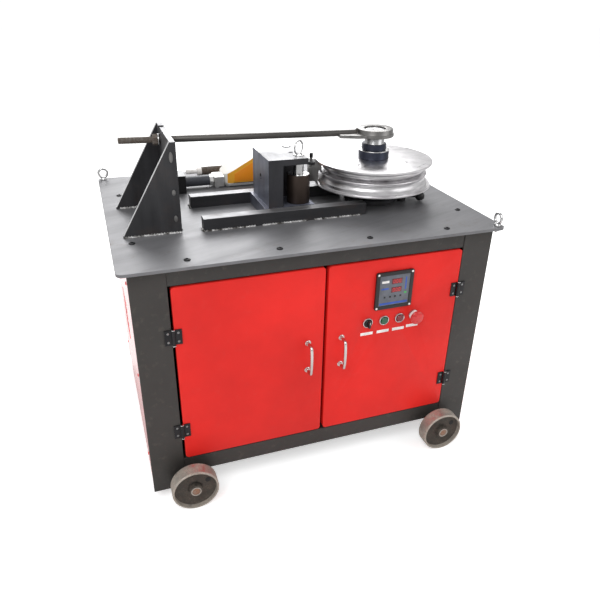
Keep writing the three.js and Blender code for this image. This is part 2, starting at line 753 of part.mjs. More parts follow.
function buildSpindle() {
  const top = TABLE_TOP_Z + SPINDLE_TOP;
  const bottom = GEAR_Z - 10;
  const hubZ = ON_TABLE_Z + RUNNING_FIT;
  add(
    "spindle",
    turned(
      [
        [0, bottom],
        [SPINDLE_R, bottom],
        [SPINDLE_R, hubZ],
        [HUB_FLANGE_R, hubZ],
        [HUB_FLANGE_R, hubZ + HUB_FLANGE_T],
        [HUB_R, hubZ + HUB_FLANGE_T + 3],
        [HUB_R, TABLE_TOP_Z + DIE_BOTTOM - GAP],
        [SPINDLE_R, TABLE_TOP_Z + DIE_BOTTOM - GAP],
        [SPINDLE_R, LOCK_NUT_Z + LOCK_NUT_T],
        [SPINDLE_NECK_R, LOCK_NUT_Z + LOCK_NUT_T + 1],
        [SPINDLE_NECK_R, top - 2],
        [SPINDLE_NECK_R - 2, top],
        [0, top],
      ],
      SPINDLE_X,
      SPINDLE_Y,
    ),
    BRIGHT_STEEL,
  );
  const bore = SPINDLE_R + GAP;
  add(
    "spindle_collar",
    turned(
      ring([
        [bore, COLLAR_Z],
        [COLLAR_R, COLLAR_Z],
        [COLLAR_R, LOCK_NUT_Z],
        [LOCK_NUT_R, LOCK_NUT_Z],
        [LOCK_NUT_R, LOCK_NUT_Z + LOCK_NUT_T],
        [bore, LOCK_NUT_Z + LOCK_NUT_T],
      ]),
      SPINDLE_X,
      SPINDLE_Y,
    ),
    DARK_STEEL,
  );
  const housingBore = SPINDLE_R + RUNNING_FIT;
  add(
    "bearing_housing",
    turned(
      ring([
        [housingBore, UNDER_TABLE_Z],
        [HOUSING_FLANGE_R, UNDER_TABLE_Z],
        [HOUSING_FLANGE_R, UNDER_TABLE_Z - HOUSING_FLANGE_T],
        [HOUSING_TUBE_R, UNDER_TABLE_Z - HOUSING_FLANGE_T - 4],
        [HOUSING_TUBE_R, TABLE_TOP_Z - HOUSING_DEPTH],
        [housingBore, TABLE_TOP_Z - HOUSING_DEPTH],
      ]),
      SPINDLE_X,
      SPINDLE_Y,
    ),
    CAST_IRON,
  );
}

function buildDie() {
  const bore = SPINDLE_R + GAP;
  const stack = (name, profile, sides) =>
    add(name, turned(ring(profile), SPINDLE_X, SPINDLE_Y, TABLE_TOP_Z, sides), POLISHED_STEEL);
  stack(
    "die_base",
    [
      [bore, DIE_BOTTOM],
      [DIE_PLATE_R, DIE_BOTTOM],
      [DIE_PLATE_R, DIE_BOTTOM + DIE_BASE_T],
      [LOWER_RING_R, DIE_BOTTOM + DIE_BASE_T + 1],
      [LOWER_RING_R, LOWER_RING_TOP - 2],
      [LOWER_RING_R - 2, LOWER_RING_TOP],
      [bore, LOWER_RING_TOP],
    ],
    48,
  );
  const beadMiddle = (BEAD_BOTTOM + BEAD_TOP) / 2;
  const bead = [];
  for (let i = 0; i <= BEAD_STEPS; i++) {
    const angle = -Math.PI / 2 + (i * Math.PI) / BEAD_STEPS;
    bead.push([
      BEAD_ROOT_R + (BEAD_R - BEAD_ROOT_R) * Math.cos(angle),
      beadMiddle + ((BEAD_TOP - BEAD_BOTTOM) / 2) * Math.sin(angle),
    ]);
  }
  const topPlateZ = DIE_TOP - DIE_TOP_PLATE_T;
  stack(
    "die_bead_ring",
    [
      [bore, LOWER_RING_TOP + GAP],
      [DIE_NECK_R, LOWER_RING_TOP + GAP],
      ...bead,
      [DIE_NECK_R, BEAD_TOP + 1],
      [DIE_NECK_R, topPlateZ - GAP],
      [bore, topPlateZ - GAP],
    ],
    48,
  );
  stack(
    "die_top_plate",
    [
      [bore, topPlateZ],
      [DIE_PLATE_R, topPlateZ],
      [DIE_PLATE_R, DIE_TOP],
      [bore, DIE_TOP],
    ],
    56,
  );

  // The hook that grips the bar's end: a block outside the lower ring, with a locking pin through its top.
  const inner = LOWER_RING_R + 2;
  const under = DIE_TOP - DIE_TOP_PLATE_T - 2;
  const hook = plateXZ(
    outline([
      [inner, CLAMP_BOTTOM],
      [CLAMP_OUTER_R, CLAMP_BOTTOM],
      [CLAMP_OUTER_R, LOWER_RING_TOP + 8],
      [DIE_PLATE_R + 2, under],
      [BEAD_R + 3, under],
      [BEAD_R + 3, LOWER_RING_TOP + 2],
      [inner, LOWER_RING_TOP + 2],
    ]),
    -CLAMP_W / 2,
    CLAMP_W / 2,
  );
  const pinX = (DIE_PLATE_R + CLAMP_OUTER_R) / 2 + 1;
  const pin = barZ(CLAMP_PIN_R, CLAMP_BOTTOM + 10, CLAMP_PIN_TOP, pinX, 0, 12);
  add(
    "pipe_clamp",
    join(hook, pin).rotateZ(CLAMP_ANGLE).translate(SPINDLE_X, SPINDLE_Y, TABLE_TOP_Z),
    DARK_STEEL,
  );
}

// A spur gear's outline: each tooth is a trapezium, and the first one points at firstAngle.
function gearOutline(teeth, firstAngle, boreR) {
  const pitchR = (GEAR_MODULE * teeth) / 2;
  const tipR = pitchR + 0.9 * GEAR_MODULE;
  const rootR = pitchR - 1.15 * GEAR_MODULE;
  const step = (2 * Math.PI) / teeth;
  const points = [];
  for (let tooth = 0; tooth < teeth; tooth++)
    for (const [share, r] of [
      [-0.28, rootR],
      [-0.11, tipR],
      [0.11, tipR],
      [0.28, rootR],
    ]) {
      const angle = firstAngle + (tooth + share) * step;
      points.push([r * Math.cos(angle), r * Math.sin(angle)]);
    }
  const shape = outline(points);
  if (boreR > 0) shape.holes.push(new THREE.Path().absarc(0, 0, boreR, 0, 2 * Math.PI, true));
  return shape;
}

function buildDrive() {
  const gear = plateXY(gearOutline(GEAR_TEETH, Math.PI, SPINDLE_R + GAP), GEAR_Z, GEAR_Z + GEAR_T, 24);
  add("spindle_gear", gear.translate(SPINDLE_X, SPINDLE_Y, 0), DARK_STEEL);

  const gearboxTop = GEAR_Z - GEARBOX_TOP_BELOW_GEAR;
  const pinion = plateXY(gearOutline(PINION_TEETH, Math.PI / PINION_TEETH, 0), GEAR_Z, GEAR_Z + GEAR_T);
  const shaft = barZ(PINION_SHAFT_R, gearboxTop + GAP, GEAR_Z + GEAR_T + 6, 0, 0);
  add("drive_pinion", join(pinion, shaft).translate(PINION_X, SPINDLE_Y, 0), DARK_STEEL);

  const half = GEARBOX_SIDE / 2;
  const gearboxBottom = gearboxTop - GEARBOX_H;
  const casing = box(
    PINION_X - half,
    SPINDLE_Y - half,
    gearboxBottom,
    PINION_X + half,
    SPINDLE_Y + half,
    gearboxTop,
  );
  add("gearbox", casing, GREY_PAINT);

  const panTop = BOTTOM_Z + PANEL_T + GAP + FLOOR_PAN_T + GAP;
  const motor = turned(
    [
      [0, panTop],
      [MOTOR_R, panTop],
      [MOTOR_R, gearboxBottom - 20],
      [MOTOR_R + 8, gearboxBottom - 16],
      [MOTOR_R + 8, gearboxBottom - GAP],
      [0, gearboxBottom - GAP],
    ],
    PINION_X,
    SPINDLE_Y,
    0,
    32,
  );
  const terminals = box(
    PINION_X - MOTOR_R - 45,
    SPINDLE_Y - 45,
    panTop + 90,
    PINION_X - MOTOR_R + 20,
    SPINDLE_Y + 45,
    panTop + 170,
  );
  add("drive_motor", join(motor, terminals), GREY_PAINT);

  const e = ELECTRICS;
  const y1 = -FRONT_Y - PANEL_T - GAP;
  add(
    "electrical_box",
    box(e.x - e.w / 2, y1 - e.d, e.z - e.h / 2, e.x + e.w / 2, y1, e.z + e.h / 2),
    GREY_PAINT,
  );
}

// ---------------------------------------------------------------- tie rod and its bracket

// The rod runs from the spindle's axis towards the bracket, turned by ROD_SKEW in plan.
const rodPoint = (along) => [
  SPINDLE_X - along * Math.cos(ROD_SKEW),
  SPINDLE_Y + along * Math.sin(ROD_SKEW),
];

function buildBracket() {
  const gusset = (y0) =>
    plateXZ(
      outline([
        [BRACKET_LEFT, ON_TABLE_Z],
        [BRACKET_RIGHT, ON_TABLE_Z],
        [BRACKET_RIGHT, TABLE_TOP_Z + BRACKET_H],
        [BRACKET_PLATE_LEFT, TABLE_TOP_Z + BRACKET_H],
      ]),
      y0,
      y0 + GUSSET_T,
    );
  add("near_gusset", gusset(BRACKET_NEAR_Y - GUSSET_T), DARK_STEEL);
  add("far_gusset", gusset(BRACKET_FAR_Y), DARK_STEEL);

  const middle = (BRACKET_PLATE_LEFT + BRACKET_RIGHT) / 2;
  const slotY = rodPoint((SPINDLE_X - middle) / Math.cos(ROD_SKEW))[1];
  const slotHalf = ROD_R + SLOT_CLEARANCE;
  const plate = box(
    BRACKET_PLATE_LEFT,
    BRACKET_NEAR_Y + GAP,
    ON_TABLE_Z,
    BRACKET_RIGHT,
    BRACKET_FAR_Y - GAP,
    TABLE_TOP_Z + BRACKET_H,
  );
  const slot = box(
    BRACKET_PLATE_LEFT - 1,
    slotY - slotHalf,
    TABLE_TOP_Z + ROD_Z - ROD_R - 1,
    BRACKET_RIGHT + 1,
    slotY + slotHalf,
    TABLE_TOP_Z + BRACKET_H + 1,
  );
  add("bracket_plate", cut(plate, slot), DARK_STEEL);
}

function buildTieRod() {
  const place = (geometry) => geometry.rotateZ(-ROD_SKEW).translate(SPINDLE_X, SPINDLE_Y, TABLE_TOP_Z);
  const plateTop = ROD_PLATE_BOTTOM + ROD_PLATE_T;
  const arm = plateXY(
    outline([
      [-ROD_ARM_END, -ROD_ARM_TIP_W / 2],
      [-ROD_ARM_END, ROD_ARM_TIP_W / 2],
      [-ROD_ARM_SHOULDER, ROD_ARM_ROOT_W / 2],
      [-ROD_PLATE_R / 2, ROD_ARM_ROOT_W / 2],
      [-ROD_PLATE_R / 2, -ROD_ARM_ROOT_W / 2],
      [-ROD_ARM_SHOULDER, -ROD_ARM_ROOT_W / 2],
    ]),
    ROD_PLATE_BOTTOM,
    plateTop,
  );
  const disc = barZ(ROD_PLATE_R, ROD_PLATE_BOTTOM, plateTop, 0, 0, 36);
  const eye = barZ(ROD_EYE_R, plateTop - 1, ROD_EYE_TOP, 0, 0, 36);
  const hole = barZ(SPINDLE_NECK_R + ROD_EYE_CLEARANCE, 0, 2 * ROD_EYE_TOP, 0, 0, 36);
  const rod = barX(ROD_R, -ROD_LENGTH, -ROD_PLATE_R, 0, ROD_Z, 20);
  add("tie_rod", place(cut(join(rod, arm, disc, eye), hole)), BROWN_STEEL);

  const plateFace = -(SPINDLE_X - BRACKET_PLATE_LEFT) / Math.cos(ROD_SKEW);
  const washerRight = plateFace - ROD_WASHER_R * Math.tan(ROD_SKEW) - GAP;
  const nutRight = washerRight - ROD_WASHER_T;
  const nutCorner = ROD_NUT_FLATS / 2 / Math.cos(Math.PI / 6);
  const nut = barX(nutCorner, nutRight - ROD_NUT_T, nutRight + 1, 0, ROD_Z, 6);
  const washer = barX(ROD_WASHER_R, nutRight, washerRight, 0, ROD_Z, 24);
  const thread = barX(ROD_R + RUNNING_FIT, nutRight - 2 * ROD_NUT_T, washerRight + 1, 0, ROD_Z, 20);
  add("tie_rod_nut", place(cut(join(nut, washer), thread)), RUSTY_STEEL);
}

// ---------------------------------------------------------------- guide rails and roller block

function buildGuides() {
  for (const [name, y0] of [
    ["front_guide_rail", GUIDE_FRONT_Y - GUIDE_W],
    ["back_guide_rail", GUIDE_BACK_Y],
  ])
    add(name, box(GUIDE_LEFT, y0, ON_TABLE_Z, GUIDE_RIGHT, y0 + GUIDE_W, TABLE_TOP_Z + GUIDE_H), DARK_STEEL);
}

function buildRollerBlock() {
  const blockZ = TABLE_TOP_Z + GUIDE_H + RUNNING_FIT;
  const topZ = TABLE_TOP_Z + BLOCK_TOP;
  const y0 = GUIDE_CENTRE_Y - BLOCK_W / 2 + 2;
  const y1 = y0 + BLOCK_W;
  const carriage = box(
    BLOCK_X - CARRIAGE_LEFT_LIP,
    GUIDE_FRONT_Y + RUNNING_FIT,
    ON_TABLE_Z + RUNNING_FIT,
    BLOCK_X - CARRIAGE_LEFT_LIP + CARRIAGE_LENGTH,
    GUIDE_BACK_Y - RUNNING_FIT,
    blockZ,
  );
  const web = box(BLOCK_X, y0, blockZ - 1, BLOCK_X + BLOCK_WEB_T, y1, topZ);
  const overRail = box(BLOCK_X - 1, y0 - 1, 0, BLOCK_X + BLOCK_WEB_T + 1, GUIDE_FRONT_Y + RUNNING_FIT, blockZ);
  const overBackRail = box(
    BLOCK_X - 1,
    GUIDE_BACK_Y - RUNNING_FIT,
    0,
    BLOCK_X + BLOCK_WEB_T + 1,
    y1 + 1,
    blockZ,
  );
  const arm = box(BLOCK_X, y0, topZ - BLOCK_ARM_T, BLOCK_X + BLOCK_ARM_LENGTH, y1, topZ);
  const wall = box(
    BLOCK_X + BLOCK_WEB_T - 1,
    BLOCK_WALL.front,
    blockZ - 1,
    BLOCK_WALL.right,
    BLOCK_WALL.back,
    topZ - BLOCK_ARM_T + 1,
  );
  const pinBore = barZ(PIN_R + RUNNING_FIT, ON_TABLE_Z + 4, topZ + 1, ROLLER_X, ROLLER_Y);
  const armHole = (x, y) => barZ(SMALL_HOLE_R, topZ - BLOCK_ARM_T - 1, topZ + 1, x, y, BLOCK_HOLE_SIDES);
  const screwHole = barX(
    SCREW_HOLE_R,
    BLOCK_X - 1,
    BLOCK_X + SCREW_HOLE_DEPTH,
    GUIDE_CENTRE_Y,
    TABLE_TOP_Z + SCREW_HOLE_HEIGHT,
    BLOCK_HOLE_SIDES,
  );
  const second = armHole(SECOND_HOLE.x, SECOND_HOLE.y);
  const third = armHole(THIRD_HOLE.x, THIRD_HOLE.y);
  add(
    "roller_block",
    cut(join(carriage, web, arm, wall), overRail, overBackRail, pinBore, second, third, screwHole),
    DARK_STEEL,
  );

  const bore = PIN_R + RUNNING_FIT;
  add(
    "press_roller",
    turned(
      ring([
        [bore, ROLLER_Z],
        [ROLLER_R - 2, ROLLER_Z],
        [ROLLER_R, ROLLER_Z + 2],
        [ROLLER_R, ROLLER_Z + ROLLER_H - 2],
        [ROLLER_R - 2, ROLLER_Z + ROLLER_H],
        [bore, ROLLER_Z + ROLLER_H],
      ]),
      ROLLER_X,
      ROLLER_Y,
      0,
      32,
    ),
    BROWN_STEEL,
  );
  const pinTop = topZ + PIN_PROUD;
  const pin = barZ(PIN_R, ON_TABLE_Z + 5, pinTop, ROLLER_X, ROLLER_Y);
  const loop = new THREE.TorusGeometry(PIN_RING_R, PIN_RING_WIRE_R, 6, 20)
    .rotateX(Math.PI / 2)
    .rotateZ(Math.PI / 5)
    .translate(ROLLER_X, ROLLER_Y, pinTop + PIN_RING_R - 1);
  add("roller_pin", join(pin, loop), BRIGHT_STEEL);
}

// ---------------------------------------------------------------- foot switch and what lies on the table

function buildFootSwitch() {
  const x1 = FOOT_X + FOOT_LENGTH;
  const y1 = FOOT_Y + FOOT_W;
  const baseZ = ON_TABLE_Z + FOOT_PAD_H;
  const baseTop = baseZ + FOOT_BASE_T;
  const t = FOOT_TONGUE;
  const tongueX = FOOT_X - t.length;
  const tongueY = FOOT_Y + t.inset;
  const slab = plateXY(rearRounded(FOOT_X - FOOT_BASE_LIP, FOOT_Y, x1, y1, FOOT_CORNER_R), baseZ, baseTop, 6);
  const tongue = box(tongueX, tongueY, baseZ, FOOT_X - GAP, tongueY + t.w, ON_TABLE_Z + t.h);
  const pads = [];
  for (const [x, y] of [
    [tongueX + 8, tongueY + 8],
    [tongueX + 8, tongueY + t.w - 8],
    [FOOT_X + FOOT_PAD_INSET, FOOT_Y + FOOT_PAD_INSET],
    [FOOT_X + FOOT_PAD_INSET, y1 - FOOT_PAD_INSET],
    [x1 - FOOT_PAD_INSET, FOOT_Y + FOOT_PAD_INSET],
    [x1 - FOOT_PAD_INSET, y1 - FOOT_PAD_INSET],
  ])
    pads.push(barZ(7, ON_TABLE_Z, baseZ + 1, x, y, 12));
  add("foot_switch_base", join(slab, tongue, ...pads), CAST_ALUMINIUM);

  const floorZ = baseTop + GAP;
  const side = (inset) => [
    [FOOT_X + inset, floorZ - (inset ? 1 : 0)],
    [FOOT_X + inset, TABLE_TOP_Z + HOOD_REAR_H - inset],
    [FOOT_X + HOOD_SHOULDER.x + inset / 2, TABLE_TOP_Z + HOOD_SHOULDER.z - inset],
    [FOOT_X + HOOD_CREST.x, TABLE_TOP_Z + HOOD_CREST.z - inset],
    [x1 + (inset ? 1 : 0), TABLE_TOP_Z + HOOD_MOUTH_H - inset],
    [x1 + (inset ? 1 : 0), floorZ - (inset ? 1 : 0)],
  ];
  const hoodPart = (inset) => {
    const plan = rearRounded(FOOT_X + inset, FOOT_Y + inset, x1 + 2, y1 - inset, FOOT_CORNER_R - inset);
    const tall = plateXY(plan, TABLE_TOP_Z, TABLE_TOP_Z + 2 * HOOD_CREST.z, 6);
    return shared(plateXZ(outline(side(inset)), FOOT_Y, y1), tall);
  };
  add("foot_switch_hood", cut(hoodPart(0), hoodPart(HOOD_T)), YELLOW_PAINT);

  const pedalX = FOOT_X + PEDAL_FROM_REAR;
  const pedalY0 = FOOT_Y + HOOD_T + PEDAL_SIDE_GAP;
  const pedalY1 = y1 - HOOD_T - PEDAL_SIDE_GAP;
  const pedalZ = TABLE_TOP_Z + PEDAL_Z;
  const tread = box(pedalX, pedalY0, pedalZ, x1 - 8, pedalY1, pedalZ + PEDAL_T);
  const barrel = barY(PEDAL_BARREL_R, pedalY0, pedalY1, pedalX, pedalZ + PEDAL_T / 2, 16);
  add("foot_pedal", join(tread, barrel), BLACK_PLASTIC);

  const boxRight = BOX_X + BOX_W;
  const junction = box(BOX_X, BOX_Y, ON_TABLE_Z, boxRight, BOX_Y + BOX_D, TABLE_TOP_Z + BOX_H);
  const conduitZ = ON_TABLE_Z + FOOT_PAD_H + CONDUIT_R;
  const conduit = barX(CONDUIT_R, boxRight - 1, tongueX - GAP, tongueY + t.w / 2, conduitZ, 20);
  add("conduit_box", join(junction, conduit), BLACK_PLASTIC);

  const s = SPARE_SCREW;
  const lying = ON_TABLE_Z + s.r;
  add(
    "spare_screw",
    join(
      barX(s.tipR, s.x, s.x + s.tipLength + 1, s.y, lying, 16),
      barX(s.r, s.x + s.tipLength, s.x + s.tipLength + s.length, s.y, lying),
    ),
    RUSTY_STEEL,
  );
}

function buildStopLever() {
  const pivotX = STOP_KNOB_X - STOP_ARM_LENGTH * Math.cos(STOP_ARM_ANGLE);
  const pivotY = STOP_KNOB_Y - STOP_ARM_LENGTH * Math.sin(STOP_ARM_ANGLE);
  const armZ = ON_TABLE_Z + STOP_KNOB_R + 1;
  const arm = barX(STOP_ARM_R, 0, STOP_ARM_LENGTH, 0, 0, 12)
    .rotateZ(STOP_ARM_ANGLE)
    .translate(pivotX, pivotY, armZ);
  const knob = new THREE.SphereGeometry(STOP_KNOB_R, 16, 10).translate(STOP_KNOB_X, STOP_KNOB_Y, armZ);
  const pivot = barZ(STOP_PIVOT_R, ON_TABLE_Z, ON_TABLE_Z + STOP_PIVOT_H, pivotX, pivotY);
  add("stop_lever", join(arm, knob, pivot), BLACK_PLASTIC);
}

buildTable();
buildLegs();
buildFrontRails();
buildPanels();
buildDoors();
buildHinges();
buildHandles();
buildController();
buildSwitches();
buildRunningGear();
buildLiftingEyes();
buildSpindle();
buildDie();
buildDrive();
buildBracket();
buildTieRod();
buildGuides();
buildRollerBlock();
buildFootSwitch();
buildStopLever();

export default bender;
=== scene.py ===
"""The looks of a powered rotary bender, built round its packed frame. Metres, +Z up, +X along the front."""

import json
import math

import bmesh
import bpy
from bpy.props import FloatProperty, FloatVectorProperty, IntProperty, PointerProperty
from bpy.types import Operator, Panel, PropertyGroup
from mathutils import Euler, Matrix, Vector

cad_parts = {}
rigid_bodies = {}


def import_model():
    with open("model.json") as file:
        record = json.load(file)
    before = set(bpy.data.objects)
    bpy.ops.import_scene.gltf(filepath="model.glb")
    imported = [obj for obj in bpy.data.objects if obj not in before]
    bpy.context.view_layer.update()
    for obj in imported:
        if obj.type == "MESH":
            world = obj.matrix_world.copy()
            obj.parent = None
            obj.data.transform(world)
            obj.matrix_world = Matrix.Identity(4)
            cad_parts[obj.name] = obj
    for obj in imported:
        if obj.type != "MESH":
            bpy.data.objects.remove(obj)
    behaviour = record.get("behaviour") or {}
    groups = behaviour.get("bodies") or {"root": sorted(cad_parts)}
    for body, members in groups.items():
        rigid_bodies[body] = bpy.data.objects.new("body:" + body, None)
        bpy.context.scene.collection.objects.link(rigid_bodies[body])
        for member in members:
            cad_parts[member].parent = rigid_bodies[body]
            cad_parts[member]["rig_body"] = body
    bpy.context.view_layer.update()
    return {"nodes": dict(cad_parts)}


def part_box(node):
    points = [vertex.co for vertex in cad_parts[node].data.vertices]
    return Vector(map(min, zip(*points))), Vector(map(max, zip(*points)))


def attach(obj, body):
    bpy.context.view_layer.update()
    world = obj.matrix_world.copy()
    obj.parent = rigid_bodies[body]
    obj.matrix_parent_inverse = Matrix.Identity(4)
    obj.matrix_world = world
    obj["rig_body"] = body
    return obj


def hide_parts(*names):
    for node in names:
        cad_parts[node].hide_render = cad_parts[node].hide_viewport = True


bl_info = {
    "name": "Rotary Bender",
    "version": (1, 0, 0),
    "blender": (4, 5, 0),
    "location": "3D View > Sidebar > Bender",
    "description": "Builds a wheeled rotary bender round its frame",
    "category": "Add Mesh",
}

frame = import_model()

MM = 0.001
TAU = 2 * math.pi
X_AXIS = Vector((1, 0, 0))
Y_AXIS = Vector((0, 1, 0))
Z_AXIS = Vector((0, 0, 1))
FINE = 96  # sides of the large turned pieces
ROUND = 32  # sides of the small ones


def middle(node):
    low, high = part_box(node)
    return (low + high) / 2


TABLE_LOW, TABLE_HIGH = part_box("table_top")
TABLE_Z = TABLE_HIGH.z
DOOR_FACE_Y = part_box("left_door")[0].y
SPINDLE = middle("die_top_plate")
ROLLER = middle("press_roller")


# ---------------------------------------------------------------- mesh helpers


def finish_mesh(name, bm, material, body, replaces=(), smooth_angle=35, doubles=True):
    """Turns a bmesh into a piece that rides on a body, smooth but for its sharp edges."""
    if doubles:
        bmesh.ops.remove_doubles(bm, verts=bm.verts, dist=1e-6)
    bmesh.ops.recalc_face_normals(bm, faces=bm.faces)
    mesh = bpy.data.meshes.new(name)
    bm.to_mesh(mesh)
    bm.free()
    piece = bpy.data.objects.new(name, mesh)
    bpy.context.scene.collection.objects.link(piece)
    for polygon in mesh.polygons:
        polygon.use_smooth = True
    mesh.set_sharp_from_angle(angle=math.radians(smooth_angle))
    mesh.materials.append(material)
    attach(piece, body)
    if replaces:
        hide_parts(*replaces)
    return piece


def rounded(bm, width, segments=2, edges=None, least_angle=30):
    """Bevels the given edges, or every edge sharper than the least angle."""
    if edges is None:
        limit = math.radians(least_angle)
        edges = [e for e in bm.edges if e.is_manifold and e.calc_face_angle(0) > limit]
    bmesh.ops.bevel(
        bm,
        geom=edges,
        offset=width,
        affect="EDGES",
        segments=segments,
        profile=0.5,
        material=-1,
        clamp_overlap=True,
    )
    return bm


def block(low, high, width=0.0, segments=2):
    """A box between two corners with rounded edges."""
    low, high = Vector(low), Vector(high)
    bm = bmesh.new()
    scale = Matrix.Diagonal((*(high - low), 1))
    bmesh.ops.create_cube(bm, size=1, matrix=Matrix.Translation((low + high) / 2) @ scale)
    if width:
        rounded(bm, width, segments)
    return bm


def prism(points, axis, start, end, width=0.0, segments=2):
    """An outline in the plane across an axis, pushed from start to end along it."""
    place = {
        "X": lambda a, b: (start, a, b),
        "Y": lambda a, b: (a, start, b),
        "Z": lambda a, b: (a, b, start),
    }[axis]
    push = {"X": X_AXIS, "Y": Y_AXIS, "Z": Z_AXIS}[axis] * (end - start)
    bm = bmesh.new()
    face = bm.faces.new([bm.verts.new(place(a, b)) for a, b in points])
    grown = bmesh.ops.extrude_face_region(bm, geom=[face])
    moved = [g for g in grown["geom"] if isinstance(g, bmesh.types.BMVert)]
    bmesh.ops.translate(bm, verts=moved, vec=push)
    bm.faces.ensure_lookup_table()
    bmesh.ops.recalc_face_normals(bm, faces=bm.faces)
    if width:
        rounded(bm, width, segments)
    return bm


def lathe(profile, centre, axis=Z_AXIS, sides=FINE, closed=True):
    """A profile of (radius, height) points spun once round an axis through centre."""
    bm = bmesh.new()
    verts = [bm.verts.new((max(r, 0), 0, h)) for r, h in profile]
    loop = verts + [verts[0]] if closed else verts
    edges = [bm.edges.new(pair) for pair in zip(loop, loop[1:]) if pair[0] is not pair[1]]
    bmesh.ops.spin(
        bm,
        geom=verts + edges,
        cent=(0, 0, 0),
        axis=(0, 0, 1),
        angle=TAU,
        steps=sides,
        use_merge=True,
    )
    bmesh.ops.remove_doubles(bm, verts=bm.verts, dist=1e-6)
    bmesh.ops.recalc_face_normals(bm, faces=bm.faces)
    return turned_to(bm, centre, axis)


def turned_to(bm, centre, axis):
    """Moves a shape made along Z so that it runs along an axis from centre."""
    turn = Z_AXIS.rotation_difference(Vector(axis).normalized()).to_matrix().to_4x4()
    bmesh.ops.transform(bm, verts=bm.verts, matrix=Matrix.Translation(centre) @ turn)
    return bm


def disc_profile(radius, bottom, top, edge, inner=0.0):
    """The profile of a disc or ring whose outer edges are rounded in three steps."""
    steps = [i * math.pi / 6 for i in range(4)]
    low = [(radius - edge + edge * math.sin(a), bottom + edge - edge * math.cos(a)) for a in steps]
    high = [(radius - edge + edge * math.cos(a), top - edge + edge * math.sin(a)) for a in steps]
    return [(inner, bottom), *low, *high, (inner, top)]


def bar(start, end, radius, edge=0.0, sides=ROUND):
    """A round bar between two points with rounded ends."""
    start, end = Vector(start), Vector(end)
    profile = disc_profile(radius, 0, (end - start).length, max(edge, 1e-4))
    return lathe(profile, start, end - start, sides)


def ring_of(centre, normal, major, minor, around=48, across=14):
    """A closed round wire ring."""
    bm = bmesh.new()
    turn = Matrix.Translation((major, 0, 0)) @ Matrix.Rotation(math.pi / 2, 4, "X")
    bmesh.ops.create_circle(bm, segments=across, radius=minor, matrix=turn)
    bmesh.ops.spin(
        bm,
        geom=bm.verts[:] + bm.edges[:],
        cent=(0, 0, 0),
        axis=(0, 0, 1),
        angle=TAU,
        steps=around,
        use_merge=True,
    )
    return turned_to(bm, centre, normal)


def sweep(name, points, radius, material, body, radii=None, replaces=(), smooth=True, sides=4):
    """A tube along points, made as a curve and kept as a mesh. radii scales it point by point."""
    curve = bpy.data.curves.new(name, "CURVE")
    curve.dimensions = "3D"
    curve.bevel_depth = radius
    curve.bevel_resolution = sides
    curve.use_fill_caps = True
    spline = curve.splines.new("BEZIER" if smooth else "POLY")
    if smooth:
        spline.bezier_points.add(len(points) - 1)
        for point, place in zip(spline.bezier_points, points):
            point.co = place
            point.handle_left_type = point.handle_right_type = "AUTO"
    else:
        spline.points.add(len(points) - 1)
        for index, (point, place) in enumerate(zip(spline.points, points)):
            point.co = (*place, 1)
            point.radius = radii[index] if radii else 1
    holder = bpy.data.objects.new(name + "_curve", curve)
    bpy.context.scene.collection.objects.link(holder)
    bpy.context.view_layer.update()
    drawn = holder.evaluated_get(bpy.context.evaluated_depsgraph_get())
    mesh = bpy.data.meshes.new_from_object(drawn)
    bpy.data.objects.remove(holder)
    bm = bmesh.new()
    bm.from_mesh(mesh)
    bpy.data.meshes.remove(mesh)
    return finish_mesh(name, bm, material, body, replaces)


def joined(*shapes):
    """One bmesh from several."""
    first = shapes[0]
    for other in shapes[1:]:
        mesh = bpy.data.meshes.new("joining")
        other.to_mesh(mesh)
        other.free()
        first.from_mesh(mesh)
        bpy.data.meshes.remove(mesh)
    return first


def softened(node, material, width=0.8 * MM, segments=2, name=None, least_angle=30, smooth_angle=20):
    """The node's own shape with its sharp edges rounded, standing in its place."""
    bm = bmesh.new()
    bm.from_mesh(frame["nodes"][node].data)
    bmesh.ops.remove_doubles(bm, verts=bm.verts, dist=1e-5)
    bmesh.ops.dissolve_limit(
        bm,
        angle_limit=math.radians(1),
        verts=bm.verts,
        edges=bm.edges,
    )
    rounded(bm, width, segments, least_angle=least_angle)
    name = name or node + "_finished"
    return finish_mesh(name, bm, material, body_name(node), (node,), smooth_angle, doubles=False)


def body_name(node):
    return frame["nodes"][node]["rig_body"]


def refinish(piece, material, test):
    """Gives another material to the faces that pass a test of their centre and normal."""
    piece.data.materials.append(material)
    index = len(piece.data.materials) - 1
    for polygon in piece.data.polygons:
        if test(polygon.center, polygon.normal):
            polygon.material_index = index
    return piece


def facing(direction):
    """A test for the faces that look along a direction."""
    return lambda centre, normal: normal.dot(direction) > 0.8


def keep_node(node, material):
    """Gives a CAD node that shows as it is a finished material."""
    piece = frame["nodes"][node]
    piece.data.materials.clear()
    piece.data.materials.append(material)
    return piece


def wavy(count, seed):
    """Repeatable uneven values near 1, for weld beads and the like."""
    return [
        1 + 0.26 * math.sin(1.7 * i + seed) + 0.2 * math.sin(4.1 * i + 2 * seed) for i in range(count)
    ]


def weld_bead(name, start, end, radius, body, material):
    """A lumpy fillet of weld metal along a straight joint."""
    start, end = Vector(start), Vector(end)
    count = max(8, int((end - start).length / (2.2 * MM)))
    seed = 10 * (start.x + 2 * start.y)
    side = (end - start).normalized().cross(Z_AXIS) * radius * 0.5
    offsets = wavy(count, seed)
    points = [
        start.lerp(end, i / (count - 1)) + side * (offset - 1) * 2 for i, offset in enumerate(offsets)
    ]
    radii = wavy(count, seed + 2)
    return sweep(name, points, radius, material, body, radii=radii, smooth=False, sides=2)


# ---------------------------------------------------------------- material helpers


